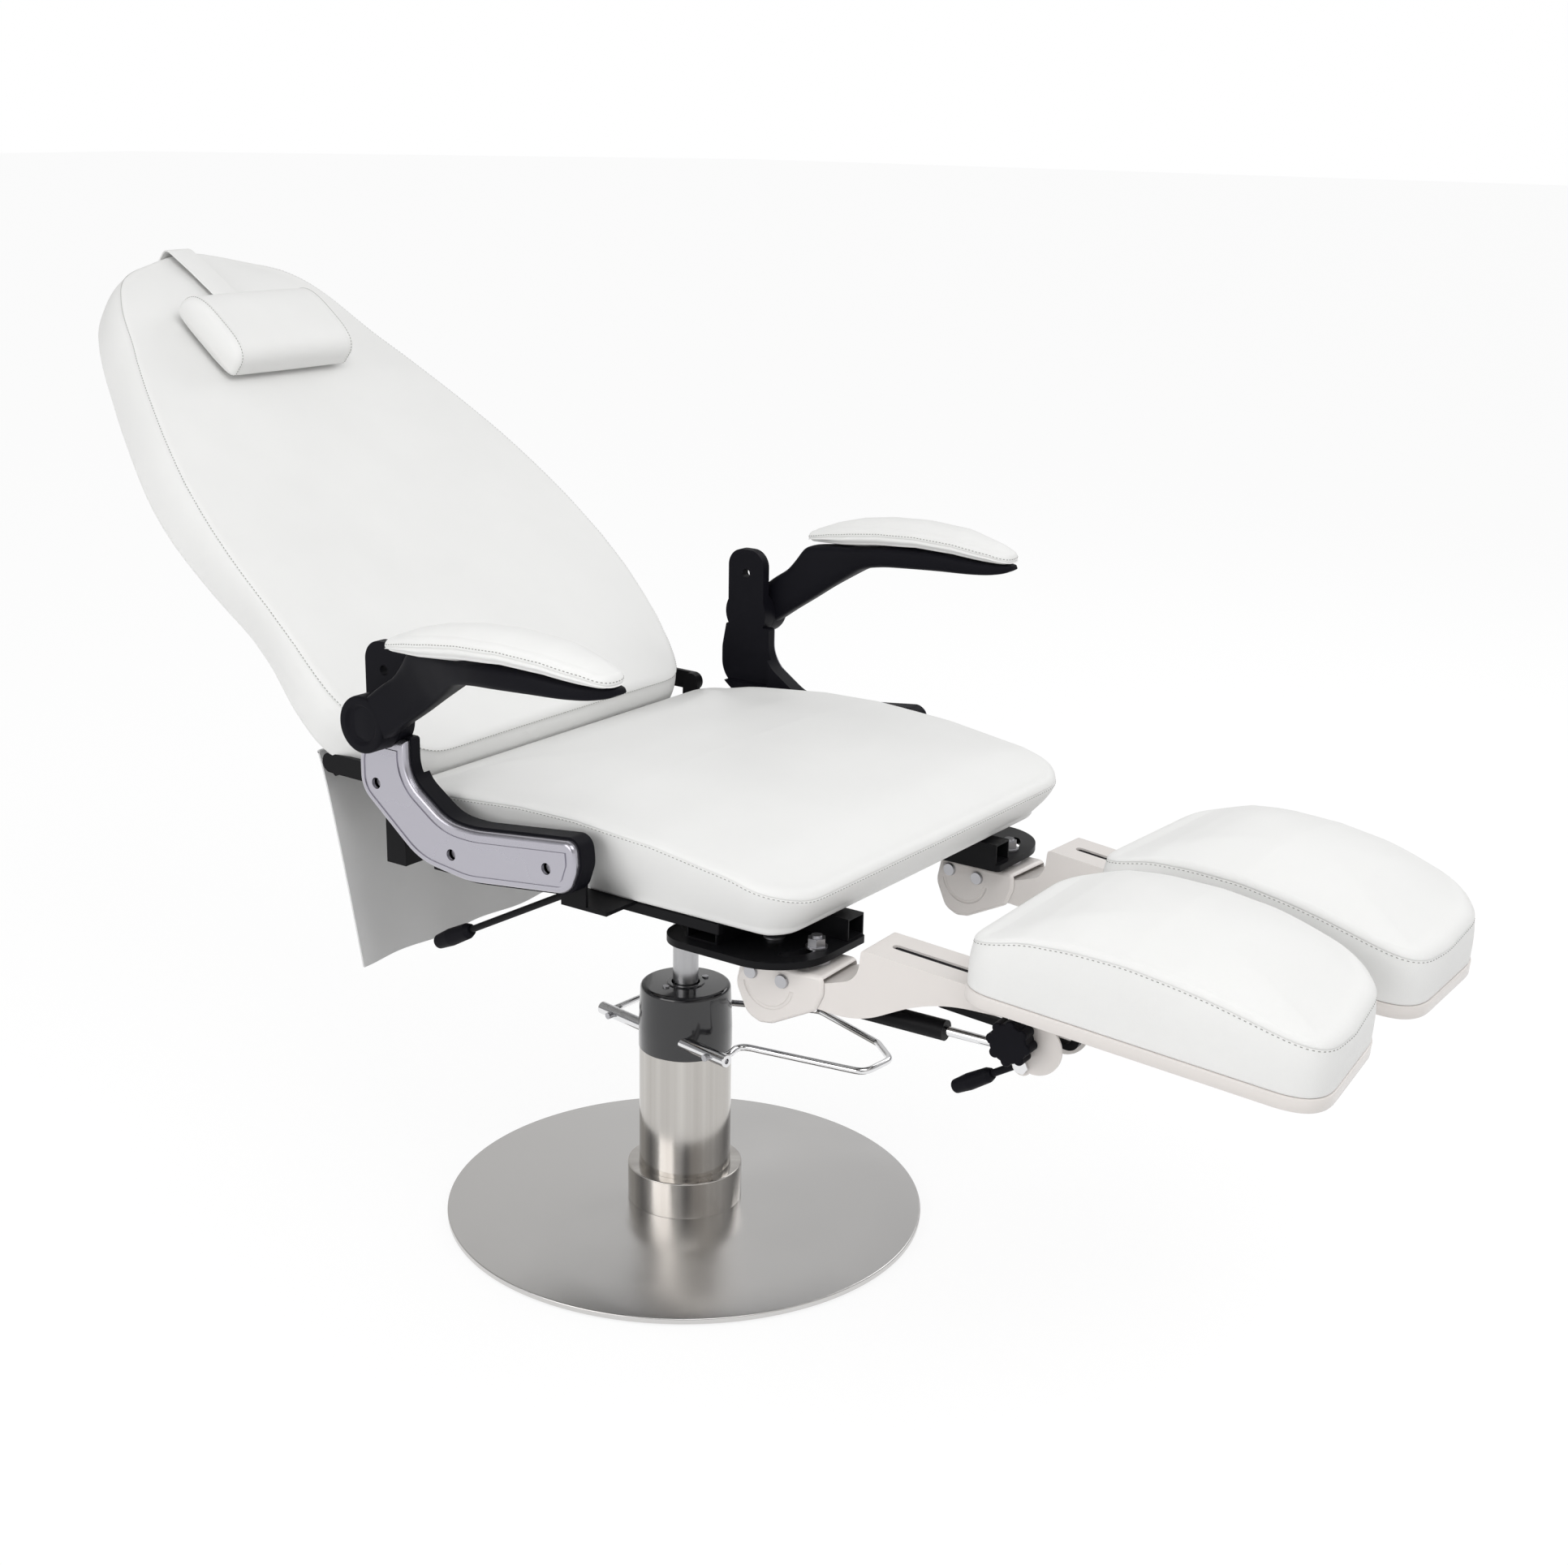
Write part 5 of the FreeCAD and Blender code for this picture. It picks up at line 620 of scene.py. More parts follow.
for name, sign in SIDES:
    arm = name + "_arm"
    add_piece(arm + "_blade", arm_shell(sign), arm, "black_plastic", (arm + "_shell",))
    drum = turned((
        (0, 354.3, 0), (32.5, 354.3, 0.8), (32.5, 384, 3.5), (23.5, 384, 2.5),
        (19, 381.2, 6), (0, 380.4, 0)), 72, (PIVOT[0], 0, PIVOT[1]), (0, sign, 0))
    add_piece(arm + "_drum", drum, arm, "black_plastic", loops=BOTH_WAYS)

# %% [markdown]
# Two small dark pieces: a thin black rail runs under each side of the seat, and a black
# bar of painted shade lies in the long slot of each leg arm, for its dark inside. Each is
# a bar with eight corners, and the rail's edges are bevelled. The shade bars are made
# further down, with the calf pads.

# %% Rails and painted shade in the slots
RAIL_INNER, RAIL_OUTER, RAIL_EDGE = 262, 274, 1.2 * MM


def bar(low, high, place=lambda points: points):
    """The eight corners of a box from low to high in millimetres, and its six faces."""
    corner = np.array(np.meshgrid([0, 1], [0, 1], [0, 1], indexing="ij")).reshape(3, -1).T
    low, high = np.array(low), np.array(high)
    points = place((low + (high - low) * corner) * MM)
    return points, [(0, 1, 3, 2), (4, 6, 7, 5), (0, 4, 5, 1), (2, 3, 7, 6), (0, 2, 6, 4),
                    (1, 5, 7, 3)]


for name, sign in SIDES:
    reach = sorted((sign * RAIL_INNER, sign * RAIL_OUTER))
    points, faces = bar((96, reach[0], 507), (252, reach[1], 519.5))
    rail = add_piece(name + "_seat_rail", points, "seat", "black_steel", faces=faces)
    edge = rail.modifiers.new("soft_edges", "BEVEL")
    edge.width, edge.segments = RAIL_EDGE, 2

# %% [markdown]
# Cushions. On the real chair each is foam under vinyl: a boxing strip runs round the side,
# and a stitched seam joins it to the top. The surface here follows that. Its rows run
# round the cushion: in from the middle of the top to a rim, over the roll of the edge,
# into a fine groove at the seam, down the side, and back in under the foot. The seam's
# height changes along the edge, so the outline is as lively as in the photograph.

# %% Cushion surfaces
def outward(outline):
    """Unit vectors square to a closed outline, away from its middle."""
    along = np.roll(outline, -1, axis=0) - np.roll(outline, 1, axis=0)
    normal = unit(np.stack([along[:, 1], -along[:, 0]], axis=1))
    facing = np.sum(normal * (outline - outline.mean(axis=0)), axis=1).mean()
    return normal * (1 if facing > 0 else -1)


def cushion(outline, seam, foot, top, middle, roll, bulge, lean=0.0, groove=0.7 * MM,
            foot_round=8 * MM, base=None):
    """Rows of points (a, b, height) from the top's middle to the foot's middle.

    Top: a, b = middle + share (rim - middle), height = top(a, b, share). Roll: a quarter
    of an ellipse from the rim to the seam. Groove: a notch at the seam. Side: from the
    outline to the base line, which is the outline drawn in by lean where none is given,
    swollen by bulge times a half sine. Foot: a quarter round, then flat to the middle.
    Returns the rows and the seam's row number.
    """
    away = outward(outline)
    count = len(outline)
    middle = np.asarray(middle)
    seam, foot, lean, roll = (np.broadcast_to(value, count)
                              for value in (seam, foot, lean, roll))
    roll = roll[:, None]
    rim = outline - away * roll
    base = outline - away * lean[:, None] if base is None else base
    rows = []

    def add(flat, height):
        rows.append(np.column_stack([flat, height]))

    for share in np.linspace(0, 1, 30) ** 0.8:
        flat = middle + (rim - middle) * share
        add(flat, top(flat[:, 0], flat[:, 1], share))
    rim_height = rows[-1][:, 2]
    for turn in np.radians([15, 30, 45, 60, 75, 86]):
        add(rim + away * roll * np.sin(turn), seam + (rim_height - seam) * np.cos(turn))
    add(outline - away * groove * 0.3, seam)
    seam_row = len(rows)
    add(outline - away * groove * 1.4, seam - groove * 0.7)
    add(outline - away * groove * 0.2, seam - groove * 1.9)
    start = seam - groove * 3
    for share in np.linspace(0, 1, 16):
        swell = away * bulge * np.sin(np.pi * share ** 0.8)
        add(outline + (base - outline) * share + swell,
            start + (foot + foot_round - start) * share)
    for turn in np.radians([22, 45, 68, 90]):
        add(base - away * foot_round * (1 - np.cos(turn)),
            foot + foot_round * (1 - np.sin(turn)))
    for share in (0.9, 0.6, 0.3, 0.0):
        add(middle + (base - away * foot_round - middle) * share, foot)
    return np.array(rows), seam_row


def add_padding(name, rows, body, stands_for, crease=70):
    """A cushion's rows as a vinyl piece that takes the place of one of the frame's
    cushions.
    """
    pad = add_piece(name, rows, body, "white_vinyl", (stands_for,), crease=crease)


def same_angle(outline, other, middle):
    """The points of another line at the angles, seen from the middle, of this outline's."""
    away = outline - middle
    beyond = other - middle
    angle = np.arctan2(beyond[:, 1], beyond[:, 0])
    order = np.argsort(angle)
    reach = np.interp(np.arctan2(away[:, 1], away[:, 0]), angle[order],
                      np.linalg.norm(beyond, axis=1)[order], period=2 * np.pi)
    return middle + unit(away) * reach[:, None]


STITCH_LENGTH, STITCH_RADIUS = 2.6 * MM, 0.5 * MM


def row_stitches(name, grid, row, body, pitch, skip=None):
    """Stitches along a row of a cushion's grid: each a capsule of 24 points.

    A stitch is middle + s along + r(s) (side cos a + out sin a); out is square to the
    surface, from the cross product of the grid's two directions.
    """
    line = grid[row]
    around = np.roll(grid, -1, axis=1)[row] - np.roll(grid, 1, axis=1)[row]
    down = grid[row + 1] - grid[row - 1]
    out = unit(np.cross(down, around))
    if np.sum(out * (line - grid.reshape(-1, 3).mean(axis=0))) < 0:
        out = -out
    looped = np.hstack([line, out])[np.arange(-len(line), 1)]
    along = distance_along(looped[:, :3])
    table = rows_at(np.arange(0, along[-1] - pitch / 2, pitch), along, looped)
    middle, out = table[:, :3], unit(table[:, 3:])
    ahead = unit(np.roll(middle, -1, axis=0) - np.roll(middle, 1, axis=0))
    if skip is not None:
        keep = ~skip(middle)
        middle, out, ahead = middle[keep], out[keep], ahead[keep]
    side = unit(np.cross(ahead, out))
    step = np.array([-0.5, -0.38, 0.38, 0.5]) * STITCH_LENGTH
    size = np.array([0.35, 1.0, 1.0, 0.35]) * STITCH_RADIUS
    points = (middle[:, None, None] + ahead[:, None, None] * step[None, :, None, None]
              + size[None, :, None, None] * ring(side, out, 6)[:, None])
    sides = grid_faces(4, 6, False, True)
    ends = np.array([[0, 1, 2, 3], [0, 3, 4, 5], [18, 19, 20, 21], [18, 21, 22, 23]])
    one = np.vstack([sides, ends])
    faces = (one[None] + 24 * np.arange(len(middle))[:, None, None]).reshape(-1, 4)
    add_piece(name, points, body, "white_vinyl", finish=THREAD, faces=faces)

# %% [markdown]
# The seat is widest at its seam and leans out over its foot. Its seam rises from the back
# to the middle and dips to the front corners. Where the back meets it, the vinyl is
# pressed into soft folds that fan out from the corners.

# %% Seat cushion
SEAT_SEAM = np.array([
    (-198, 588), (-160, 590), (-100, 598), (0, 607), (80, 608), (185, 601), (290, 586),
    (334, 574), (359, 566)]) * MM
SEAT_FOOT = 520.4 * MM
SEAT_CROWN, SEAT_SWELL = 14 * MM, 7 * MM
LAST_STITCH = -0.17
FOLD_X, FOLD_Y = -0.205, 0.30
FOLD_HEIGHT, FOLD_PLACE, FOLD_WIDTH = 2.2 * MM, 0.10, 0.11


def seat_top(x, y, share):
    """Seam height at x, a crown flat in the middle, and folds round each rear corner."""
    base = read(SEAT_SEAM, x)
    crown = (SEAT_CROWN * (1 - share ** 2.6)
             + SEAT_SWELL * ramp(x, -0.20, 0.08, 0.15))
    folds = 0.0
    for sign in (-1, 1):
        off_x, off_y = x - FOLD_X, y - sign * FOLD_Y
        away = np.hypot(off_x, off_y)
        angle = np.arctan2(-sign * off_y, off_x)
        folds = folds + FOLD_HEIGHT * np.sin(angle * 9 + 0.6) * hump(
            away, FOLD_PLACE, FOLD_WIDTH)
    return base + crown + folds * (1 - share ** 8)


plan = soft_line((
    (-198, -300, 30), (120, -306, 400), (330, -304, 76), (361, -262, 60), (362, 0, 900),
    (361, 262, 60), (330, 304, 76), (120, 306, 400), (-198, 300, 30)), steps=14)
plan = smooth_line(evenly(plan, 420), 5)
seat_seam = read(SEAT_SEAM, plan[:, 0])
front = ramp(plan[:, 0], 0.22, 0.14)
edge_roll = (4 + 10 * ramp(plan[:, 0], -0.19, 0.03)) * MM
rows, seam_row = cushion(plan, seat_seam, SEAT_FOOT, seat_top, middle=(0.08, 0),
                         roll=edge_roll, bulge=3 * MM, lean=(27 - front) * MM)
add_padding("seat_padding", rows, "seat", "seat_cushion")
row_stitches("seat_stitches", rows, seam_row + 2, "seat", pitch=5.2 * MM,
             skip=lambda spots: spots[:, 0] < LAST_STITCH)

# %% [markdown]
# The back is described on its own plane, with s up the face, y across and h out of it,
# and then tilted 38 degrees above the horizontal. It is widest near the hips and narrows
# to the head. Its face falls away a little towards the seam at each side. As on the
# photographed chair, the padding lies a centimetre or two to the left, most at the head.
# Its foot has a line of its own, drawn in at the lower corners, so that they pass between
# the hinges when the back reclines.

# %% Back cushion
BACK_TILT = math.radians(38)
BACK_UP = np.array([-math.cos(BACK_TILT), 0.0, math.sin(BACK_TILT)])
BACK_OUT = np.array([math.sin(BACK_TILT), 0.0, math.cos(BACK_TILT)])
BACK_FOOT = np.array([-200.0, 0.0, 634.0]) * MM
BACK_LENGTH, BACK_HALF, BACK_DEPTH = 838 * MM, 306 * MM, 80.8 * MM
LEAST_HALF, SIDE_DROP, FACE_SHARE = 0.02, 20 * MM, 0.8
HEAD_TOP, HEAD_DROP = 0.8465, 11 * MM
# up the face, half width and drop at the side, as shares of the values above
BACK_SHARES = np.array([
    (-0.022, 0.76, 0.5), (0.0, 0.815, 0.6), (0.035, 0.885, 0.8), (0.08, 0.955, 1.0),
    (0.13, 0.988, 1.0), (0.2, 1.0, 0.8), (0.28, 1.0, 0.55), (0.37, 0.993, 0.5),
    (0.45, 0.967, 0.5), (0.53, 0.925, 0.5), (0.62, 0.85, 0.5), (0.72, 0.75, 0.5),
    (0.81, 0.645, 0.5), (0.87, 0.595, 0.55), (0.915, 0.53, 0.6), (0.95, 0.455, 0.7),
    (0.98, 0.32, 0.85), (1.0, 0.14, 1.0)])
# half width of the foot's line near the seat, and above that how far it is drawn in
BASE_END = 0.14
BACK_BASE = np.array([(-0.028, 0.250), (-0.022, 0.262), (-0.010, 0.270), (0.02, 0.274),
                      (0.045, 0.284), (0.07, 0.298), (0.10, 0.303), (0.14, 0.300)])
BACK_TUCK = np.array([(0.14, 0.006), (0.20, 0.022), (0.25, 0.026), (0.29, 0.021),
                      (0.35, 0.013), (0.41, 0.005), (0.48, 0.0), (0.68, 0.0), (0.74, 0.008),
                      (0.78, 0.010)])
BACK_ASKEW = np.array([(0.06, 0), (0.18, 0.010), (0.65, 0.010), (0.76, 0.018),
                       (0.84, 0.020)])


def on_back(points):
    """Points (s, y, h) of the back's own plane to the chair's x, y, z."""
    points = np.asarray(points)
    return (BACK_FOOT + points[..., :1] * BACK_UP + points[..., 2:] * BACK_OUT
            + points[..., 1:2] * np.array([0.0, 1.0, 0.0]))


def back_half(s):
    return BACK_HALF * read(BACK_SHARES, s / BACK_LENGTH)


def back_drop(s):
    return SIDE_DROP * read(BACK_SHARES, s / BACK_LENGTH, 2)


def back_shift(s):
    """How far the padding lies to the left, growing towards the head."""
    return read(BACK_ASKEW, s)


def back_top(s, y, share):
    """Level along the middle, and down by the drop times (y / half width) cubed."""
    ratio = np.clip(np.abs(y - back_shift(s)) / np.maximum(back_half(s), LEAST_HALF), 0, 1)
    return (-back_drop(s) * FACE_SHARE * ratio ** 3
            - HEAD_DROP * hump(s, 0.83, 0.05))


profile = BACK_SHARES[:, :2] * [BACK_LENGTH, BACK_HALF]
half_line = np.vstack([[profile[0, 0], 0], profile[0] - [0, LEAST_HALF], profile,
                       [HEAD_TOP, 0]])
outline = np.vstack([half_line, half_line[-2:0:-1] * [1, -1]])
outline = smooth_line(evenly(outline, 520), 30)
seam_line = -back_drop(outline[:, 0]) - 10 * MM * hump(outline[:, 0], 0.84, 0.03)
share = outline[:, 1] / np.maximum(back_half(outline[:, 0]), LEAST_HALF)
low = outline[:, 0] - 9 * MM * np.clip(1 - outline[:, 0] / 0.06, 0, 1)
wide = np.where(low < BASE_END, read(BACK_BASE, low), back_half(low) - np.where(
    share < 0, read(BACK_TUCK, low), 8 * MM - back_shift(low)))
base = smooth_line(np.column_stack([low, share * wide]), 10)
outline[:, 1] += back_shift(outline[:, 0])
deep = -BACK_DEPTH - 8 * MM * np.clip(1.6 - low / 0.07, 0, 1) * np.abs(share) ** 3
rows, seam_row = cushion(outline, seam_line, smooth_line(deep[:, None], 20)[:, 0], back_top,
                         middle=(0.36, 0.008), roll=12 * MM, bulge=4 * MM, base=base)
rows = on_back(rows)
add_padding("back_padding", rows, "back", "back_cushion")
row_stitches("back_stitches", rows, seam_row - 3, "back", pitch=4.6 * MM)

# %% [markdown]
# The head pillow is a small bolster, flat where it lies on the back. Its section is a
# rounded D, and it keeps its size nearly to the ends, where a seam joins the end panels.

# %% Head pillow
PILLOW_MIDDLE, PILLOW_HALF, PILLOW_RISE, PILLOW_SIDES = 648, 106, 20.4, 96


def pillow_rows():
    """P(v, a) = (s, y, h): a D-shaped ring scaled by w(v), with a groove near each end."""
    angle = full_turn(PILLOW_SIDES)
    lift = np.sin(angle)
    ring_s = 63 * squared(np.cos(angle), 0.62)
    ring_h = np.where(lift > 0, 33 * np.abs(lift) ** 0.8, -17 * np.abs(lift) ** 0.35)
    ring_s = ring_s - 6 * np.clip(lift, 0, 1)
    from_end = np.array([0, 3, 7, 11, 13.5, 15, 16.5, 19, 25, 35, 50, 70, 88])
    across = np.concatenate([from_end, [PILLOW_HALF], 2 * PILLOW_HALF - from_end[::-1]])
    from_end = np.minimum(across, 2 * PILLOW_HALF - across)
    size = np.clip((1 - np.clip(1 - from_end / 15, 0, 1) ** 3.2), 0, 1) ** (1 / 2.4)
    size = size * (1 - 0.03 * hump(from_end, 15, 1.5))
    size[[0, -1]] = 0
    across = (across - PILLOW_HALF)[:, None]
    rows = np.zeros((len(across), PILLOW_SIDES, 3))
    rows[..., 0] = PILLOW_MIDDLE + ring_s[None] * (0.55 + 0.45 * size[:, None]) * np.where(
        size[:, None] > 0, 1, 0)
    rows[..., 1] = across
    rows[..., 2] = PILLOW_RISE + ring_h[None] * size[:, None] * (
        1 + 0.03 * np.cos(across / 40))
    return rows * MM


rows = on_back(pillow_rows())
add_padding("head_bolster", rows, "pillow", "head_pillow", crease=80)
for side, row in (("near", 3), ("far", len(rows) - 4)):
    row_stitches("pillow_stitches_" + side, rows, row, "pillow", pitch=4 * MM)

# %% [markdown]
# A vinyl strap holds the pillow. It leaves it at the top, lies on the face, goes over the
# back's upper end and down behind. A strap is a thin rounded section carried along a line
# in the middle plane of the back.

# %% Head strap
line = soft_line((
    (694, 13, 0), (722, 9, 30), (790, 2.2, 60), (841.4, -5, 10), (840.6, -81.9, 8),
    (690, -81.9, 0)), closed=False, steps=12)
line = smooth_line(evenly(line, 120, closed=False), 3, closed=False)
ahead = unit(np.gradient(line, axis=0))
away = np.stack([-ahead[:, 1], ahead[:, 0]], axis=1)
section = soft_line(((-20, -1.1, 1), (20, -1.1, 1), (20, 1.1, 1), (-20, 1.1, 1)), steps=4)
rows = np.zeros((len(line), len(section), 3))
rows[..., 0] = line[:, :1] + away[:, :1] * section[None, :, 1]
rows[..., 1] = section[None, :, 0]
rows[..., 2] = line[:, 1:] + away[:, 1:] * section[None, :, 1]
caps = rows[[0, -1]].mean(axis=1, keepdims=True).repeat(len(section), axis=1)
rows = on_back(np.concatenate([caps[:1], rows, caps[1:]]))
strap = add_piece("head_strap_band", rows, "back", "white_vinyl", ("head_strap",))

# %% [markdown]
# The skirt is a vinyl flap that hangs from a piped seam under the back and hides the
# frame. It is a sheet between two surfaces a few millimetres apart, P(y, t), with a soft
# wave that grows towards the hem.

# %% Skirt
SKIRT_HALF, SKIRT_X, SKIRT_TOP, SKIRT_FALL = 280, -335.5, 603.5, 258.5
SKIRT_ROWS, SKIRT_LINES = 60, 90
across = np.linspace(-SKIRT_HALF, SKIRT_HALF, SKIRT_LINES) * MM
fall = np.linspace(0, 1, SKIRT_ROWS)
wave = 3.6 * MM * fall[:, None] * np.cos(across[None] / 0.28 * 4 * np.pi)
front = np.zeros((SKIRT_ROWS, SKIRT_LINES, 3))
front[..., 0] = (SKIRT_X + 58.5 * fall ** 0.85)[:, None] * MM + wave
front[..., 1] = across[None]
front[..., 2] = (SKIRT_TOP - SKIRT_FALL * fall)[:, None] * MM
thickness = np.array([1.2 * MM, 0, 0])
loop = np.concatenate([front + thickness, (front - thickness)[::-1]])
ends = np.concatenate([loop[:, :1], loop, loop[:, -1:]], axis=1)
for side in (0, -1):
    ends[:, side] = (ends[:, side] + ends[::-1, side]) / 2
# the white skirt and its piping take the greyer vinyl, as painted shade
skirt = add_piece("skirt_sheet", ends, "skirt", "white_vinyl", ("back_skirt",), PAINTED_SHADE_VINYL,
                  crease=60, loops=(True, False))
edge = np.stack([np.full(40, SKIRT_X), np.linspace(-SKIRT_HALF, SKIRT_HALF, 40),
                 np.full(40, SKIRT_TOP)], axis=1) * MM
add_piece("skirt_piping", tube(edge, 2.2 * MM, 16), "skirt", "white_vinyl",
          finish=PAINTED_SHADE_VINYL)

# %% [markdown]
# The arm pads are small cushions on the blades: their foot follows the blade's upper
# line, their top rises to a crown in the middle, and a row of stitches runs over the seam.

# %% Arm pads
PAD_FOOT = np.array([(-95, 789), (-28, 793), (30, 800), (88, 804), (143, 802), (182, 797),
                     (222, 794)]) * MM
PAD_CROWN = np.array([(-92, 797), (-81, 805), (-49, 817), (-14, 826), (29, 832), (83, 834),
                      (140, 830), (188, 818), (209, 808), (218, 800)]) * MM

PAD_EDGE = ((-91, 20, 14), (-30, 31, 200), (70, 37, 200), (150, 34, 200), (214, 19, 17))
PAD_HALF = np.array(PAD_EDGE)[:, :2] * MM
PAD_MIDDLE = 394


def arm_pad(sign):
    """A cushion over a narrow plan, with foot, seam and crown that follow x."""
    plan = soft_line([(x, PAD_MIDDLE - half, r) for x, half, r in PAD_EDGE]
                     + [(x, PAD_MIDDLE + half, r) for x, half, r in PAD_EDGE[::-1]],
                     steps=10)
    plan = smooth_line(evenly(plan, 240), 8)
    foot = read(PAD_FOOT, plan[:, 0])
    seam = foot + (read(PAD_CROWN, plan[:, 0]) - foot) * 0.38

    def top(x, y, share):
        low, high = read(PAD_FOOT, x), read(PAD_CROWN, x)
        start = low + (high - low) * 0.5
        ratio = np.clip(np.abs(y - PAD_MIDDLE * MM) / read(PAD_HALF, x), 0, 1)
        return start + (high - start) * (1 - ratio ** 2.6)

    rows, seam_row = cushion(plan, seam, foot, top, middle=(0.065, PAD_MIDDLE * MM),
                             roll=7 * MM, bulge=1.5 * MM, lean=3.5 * MM, groove=0.8 * MM,
                             foot_round=3 * MM)
    rows[..., 1] *= sign
    return rows, seam_row


for name, sign in SIDES:
    arm = name + "_arm"
    rows, seam_row = arm_pad(sign)
    add_padding(arm + "_padding", rows, arm, arm + "_pad")
    row_stitches(arm + "_stitches", rows, seam_row - 3, arm, pitch=4.6 * MM)

# %% [markdown]
# The calf pads are described along their own leg support, which is toed in by 2.7 degrees
# and tilted down by 4.5 degrees about its pin. Each rises behind the knee and falls to the
# heel. Both have one broad front corner, on the sitter's left, and a tray of nearly the
# same outline carries the foam.

# %% Calf pads
LEG_TOE, LEG_SLOPE = math.radians(2.7), math.radians(4.5)
PAD_SEAM = np.array([(251, 44), (267, 51), (318, 67), (369, 73), (424, 75), (477, 71),
                     (512, 67), (548, 61), (576, 56), (627, 50)]) * MM
TRAY_REAR, TRAY_RUN, TRAY_OUTER, TRAY_INNER = 251, 376, 78, 168
PAD_LEVEL = 537.7 * MM
TRAY_TOP, TRAY_FOOT = 537.5, 522.8
SLOT_TOP, SLOT_START, SLOT_END, SLOT_HALF = 521.0, 143, 403, 9
PIN_X, PIN_Z = 0.034, 0.461
ROOT_X, ROOT_Y = 0.277, 0.207


def on_leg(points, sign):
    """Points (x, y, z) of a leg support's own axes, tilted and toed in, to the chair's."""
    points = np.array(points, float)
    x, y, z = points[..., 0] - PIN_X, points[..., 1], points[..., 2] - PIN_Z
    cos, sin = math.cos(LEG_SLOPE), math.sin(LEG_SLOPE)
    x, z = x * cos + z * sin + PIN_X, -x * sin + z * cos + PIN_Z
    cos, sin = math.cos(LEG_TOE), math.sin(-sign * LEG_TOE)
    return np.stack([x * cos - y * sin + ROOT_X, x * sin + y * cos + sign * ROOT_Y, z],
                    axis=-1)


def leg_pad(sign):
    """A cushion with one broad front corner; the seam's height is a table along the pad.

    Both pads are the same way round, so the plan starts from the side nearer the camera.
    Returns the rows, the seam's row number and the outline of the tray below.
    """
    rear, front = TRAY_REAR + 3, TRAY_REAR + TRAY_RUN - 1
    near = 1 - (TRAY_OUTER if sign < 0 else TRAY_INNER)
    far = near + TRAY_OUTER + TRAY_INNER - 2
    plan = soft_line(((rear, near, 40), (front - 2, near, 56), (front + 1, near + 67, 90),
                      (front - 10, near + 168, 90), (front - 48, near + 224, 90),
                      (front - 140, far, 110), (rear, far, 52)), steps=16)
    plan = smooth_line(evenly(plan, 320), 6)
    away = outward(plan)

    def seam_at(x):
        return PAD_LEVEL + read(PAD_SEAM, x)

    def top(x, y, share):
        rise = ramp(x, 0.262, 0.085)
        return seam_at(x) + (2 + 6 * rise + (3 + 10 * rise) * (1 - share ** 2.2)) * MM

    edge_roll = smooth_line((6 + 16 * np.abs(away[:, :1]) ** 2) * MM, 20)[:, 0]
    tray = evenly(soft_line(((rear - 3, near - 1, 42), (front + 3, near - 1, 46),
                             (front - 8, near + 176, 80), (front - 50, far + 1, 80),
                             (rear - 3, far + 1, 42)), steps=16), 400)
    middle = np.array([(rear + front) / 2, (near + far) / 2]) * MM
    inside = tray - outward(tray) * 1.5 * MM
    base = same_angle(plan, inside, middle)
    seam = smooth_line(seam_at(plan[:, 0])[:, None], 12)[:, 0]
    rows, seam_row = cushion(plan, seam, PAD_LEVEL, top, middle, edge_roll,
                             bulge=1.5 * MM, foot_round=2 * MM, base=base)
    return on_leg(rows, sign), seam_row, smooth_line(tray, 2)


def tray_rows(tray):
    """Rows (x, y, z) of a tray: flat top, rounded rim, upright side and flat underside."""
    away, middle = outward(tray), tray.mean(axis=0)
    ledge = [(share, 0.0, TRAY_TOP) for share in (0.0, 0.5, 0.9)]
    ledge += [(1.0, out, level) for out, level in (
        (-1.2, TRAY_TOP), (-0.3, TRAY_TOP - 0.4), (0.0, TRAY_TOP - 1.3),
        (0.0, TRAY_FOOT + 2.5), (-0.8, TRAY_FOOT + 0.7), (-2.5, TRAY_FOOT))]
    ledge += [(share, 0.0, TRAY_FOOT) for share in (0.9, 0.5, 0.0)]
    return np.stack([np.column_stack([
        middle + (tray - middle) * share + away * out * MM,
        np.full(len(tray), level * MM)]) for share, out, level in ledge])


for name, sign in SIDES:
    rest, leg = name + "_rest", name + "_leg"
    rows, seam_row, tray = leg_pad(sign)
    add_padding(name + "_calf_padding", rows, rest, leg + "_pad")
    row_stitches(name + "_calf_stitches", rows, seam_row + 2, rest, pitch=5.5 * MM)
    # a black bar just under the slot's top: painted shade for the dark inside of the slot
    points, faces = bar((SLOT_START, -SLOT_HALF, SLOT_TOP - 2.6),
                        (SLOT_END, SLOT_HALF, SLOT_TOP - 1.2),
                        lambda corner: on_leg(corner, sign))
    add_piece(name + "_slot_painted_shade", points, leg, "black_plastic", faces=faces)
    add_piece(name + "_calf_tray", on_leg(tray_rows(tray), sign), rest, "warm_white",
              (leg + "_tray",))

# %% [markdown]
# A plain white floor carries the chair's soft shadow. For the camera and in reflections
# the floor and the sky are lifted towards white, as on the photograph, and that adds no
# light to the chair.

# %% Floor
FLOOR_REACH = 40
FLOOR_GLOW, GLOW_SHARE = 1.06, 0.80
WHITE = (1, 1, 1, 1)


def mixed(tree, factor, first, second):
    """Two shaders in one, by a socket that is 0 for the first and 1 for the second."""
    return add_node(tree, "ShaderNodeMixShader", {
        "Fac": factor, 1: first, 2: second}).outputs["Shader"]


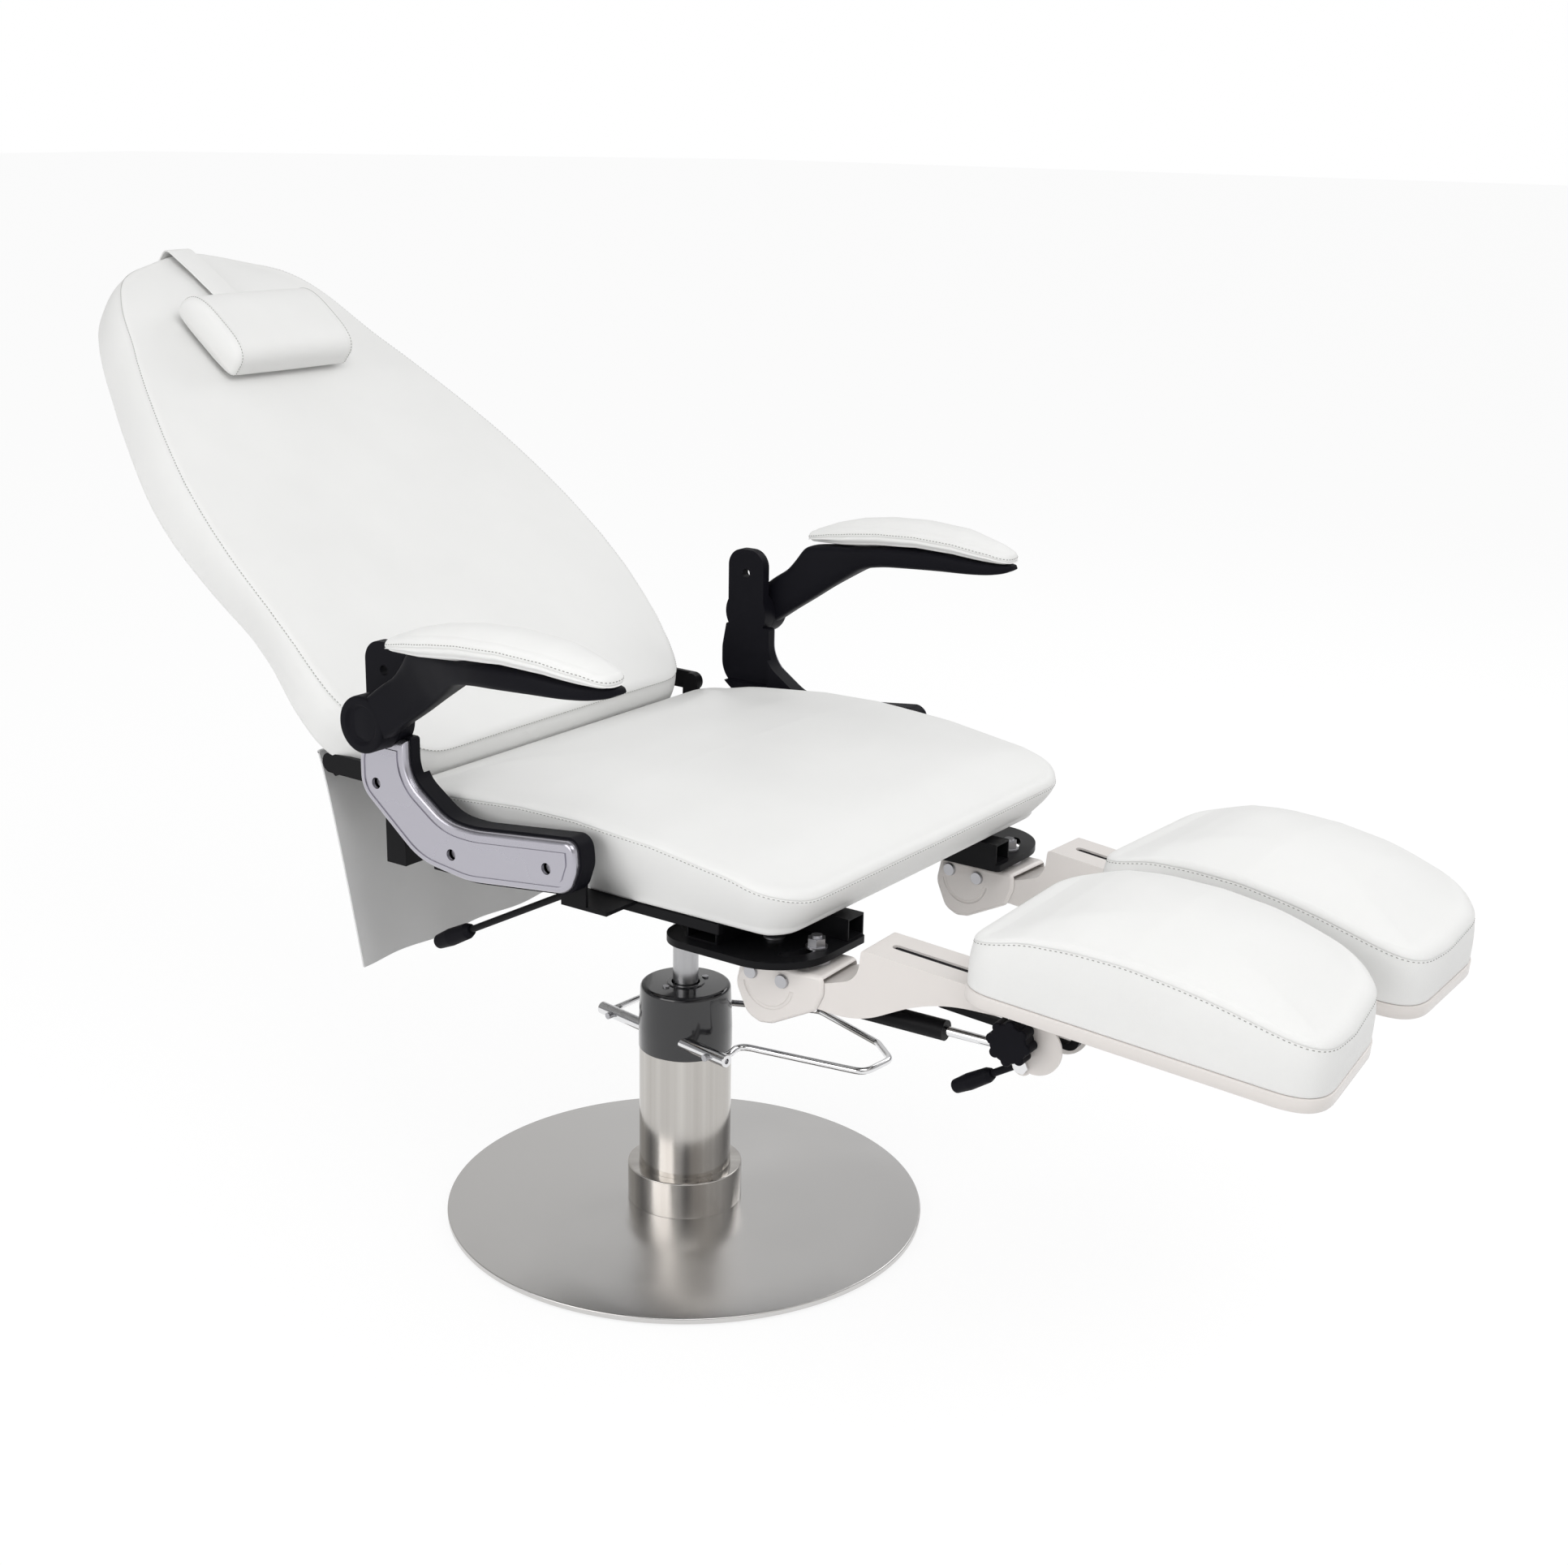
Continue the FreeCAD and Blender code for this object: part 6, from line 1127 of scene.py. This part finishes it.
floor_mesh = bpy.data.meshes.new("floor")
floor_mesh.from_pydata([(x * FLOOR_REACH, y * FLOOR_REACH, 0) for x, y in
                        ((-1, -1), (1, -1), (1, 1), (-1, 1))], [], [(0, 1, 2, 3)])
floor = bpy.data.objects.new("floor", floor_mesh)
bpy.context.scene.collection.objects.link(floor)
paper, tree, place = start_finish("pale_floor", Base_Color=(0.82, 0.82, 0.82, 1),
                                          Roughness=0.6)
glow = add_node(tree, "ShaderNodeEmission", {"Color": WHITE, "Strength": FLOOR_GLOW})
seen = add_node(tree, "ShaderNodeLightPath").outputs
share = worked(tree, "MULTIPLY", GLOW_SHARE,
               worked(tree, "MAXIMUM", seen["Is Camera Ray"], seen["Is Glossy Ray"]))
surface = mixed(tree, share, shader_of(tree).outputs["BSDF"], glow.outputs["Emission"])
tree.links.new(surface, tree.nodes["Material Output"].inputs["Surface"])
floor_mesh.materials.append(paper)

# %% [markdown]
# The light is a studio's: one broad soft lamp above and to the front, a weaker one at each
# side, and an even pale sky. Metals see a room of pale and grey bands instead of the bare
# sky, because chrome looks like chrome only when it has something to mirror.

# %% Lamps and sky
def lamp(name, place, aim, size, power):
    light = bpy.data.lights.new(name, "AREA")
    light.shape = "RECTANGLE"
    light.size, light.size_y = size
    light.energy = power
    backward = unit(np.array(place) - np.array(aim))
    across = unit(np.cross(UP, backward))
    stand(name, light, across, np.cross(backward, across), backward, place)


lamp("key_lamp", (2.2, -1.2, 3.4), (0, 0, 0.5), (3.0, 2.2), 54)
lamp("side_lamp", (-0.6, -3.4, 1.6), (0, 0, 0.6), (2.4, 2.0), 34)
lamp("far_lamp", (0.6, 3.2, 2.8), (0, 0, 0.5), (2.4, 1.6), 26)

SKY_STRENGTH, ROOM_STRENGTH = 0.70, 0.9
sky = bpy.data.worlds.new("studio")
bpy.context.scene.world = sky
sky.use_nodes = True
tree = sky.node_tree
tree.nodes.clear()
where = add_node(tree, "ShaderNodeTexCoord").outputs["Generated"]
round_room = mapped(tree, angle_round(tree, where), -math.pi, math.pi)
tones = add_node(tree, "ShaderNodeValToRGB", {"Fac": round_room})
WALLS = ((0.0, 0.60, 0.59, 0.57), (0.10, 0.24, 0.24, 0.25), (0.17, 0.80, 0.80, 0.80),
         (0.24, 0.42, 0.37, 0.33), (0.29, 0.95, 0.95, 0.95), (0.36, 0.16, 0.16, 0.17),
         (0.42, 0.62, 0.60, 0.58), (0.55, 0.75, 0.75, 0.75), (0.70, 0.28, 0.28, 0.29),
         (0.85, 0.80, 0.80, 0.80), (1.0, 0.60, 0.59, 0.57))
stops = tones.color_ramp.elements
stops[0].position, stops[0].color = 0.0, (*WALLS[0][1:], 1)
stops[1].position, stops[1].color = 1.0, (*WALLS[-1][1:], 1)
for position, red, green, blue in WALLS[1:-1]:
    stops.new(position).color = (red, green, blue, 1)
soft, room, white = (
    add_node(tree, "ShaderNodeBackground", {"Color": hue, "Strength": strength}).outputs[0]
    for hue, strength in ((WHITE, SKY_STRENGTH), (tones.outputs["Color"], ROOM_STRENGTH),
                          (WHITE, 1.0)))
seen = add_node(tree, "ShaderNodeLightPath").outputs
mirrored = mixed(tree, seen["Is Glossy Ray"], soft, room)
add_node(tree, "ShaderNodeOutputWorld", {
    "Surface": mixed(tree, seen["Is Camera Ray"], mirrored, white)})
bpy.context.scene.view_settings.view_transform = "Standard"
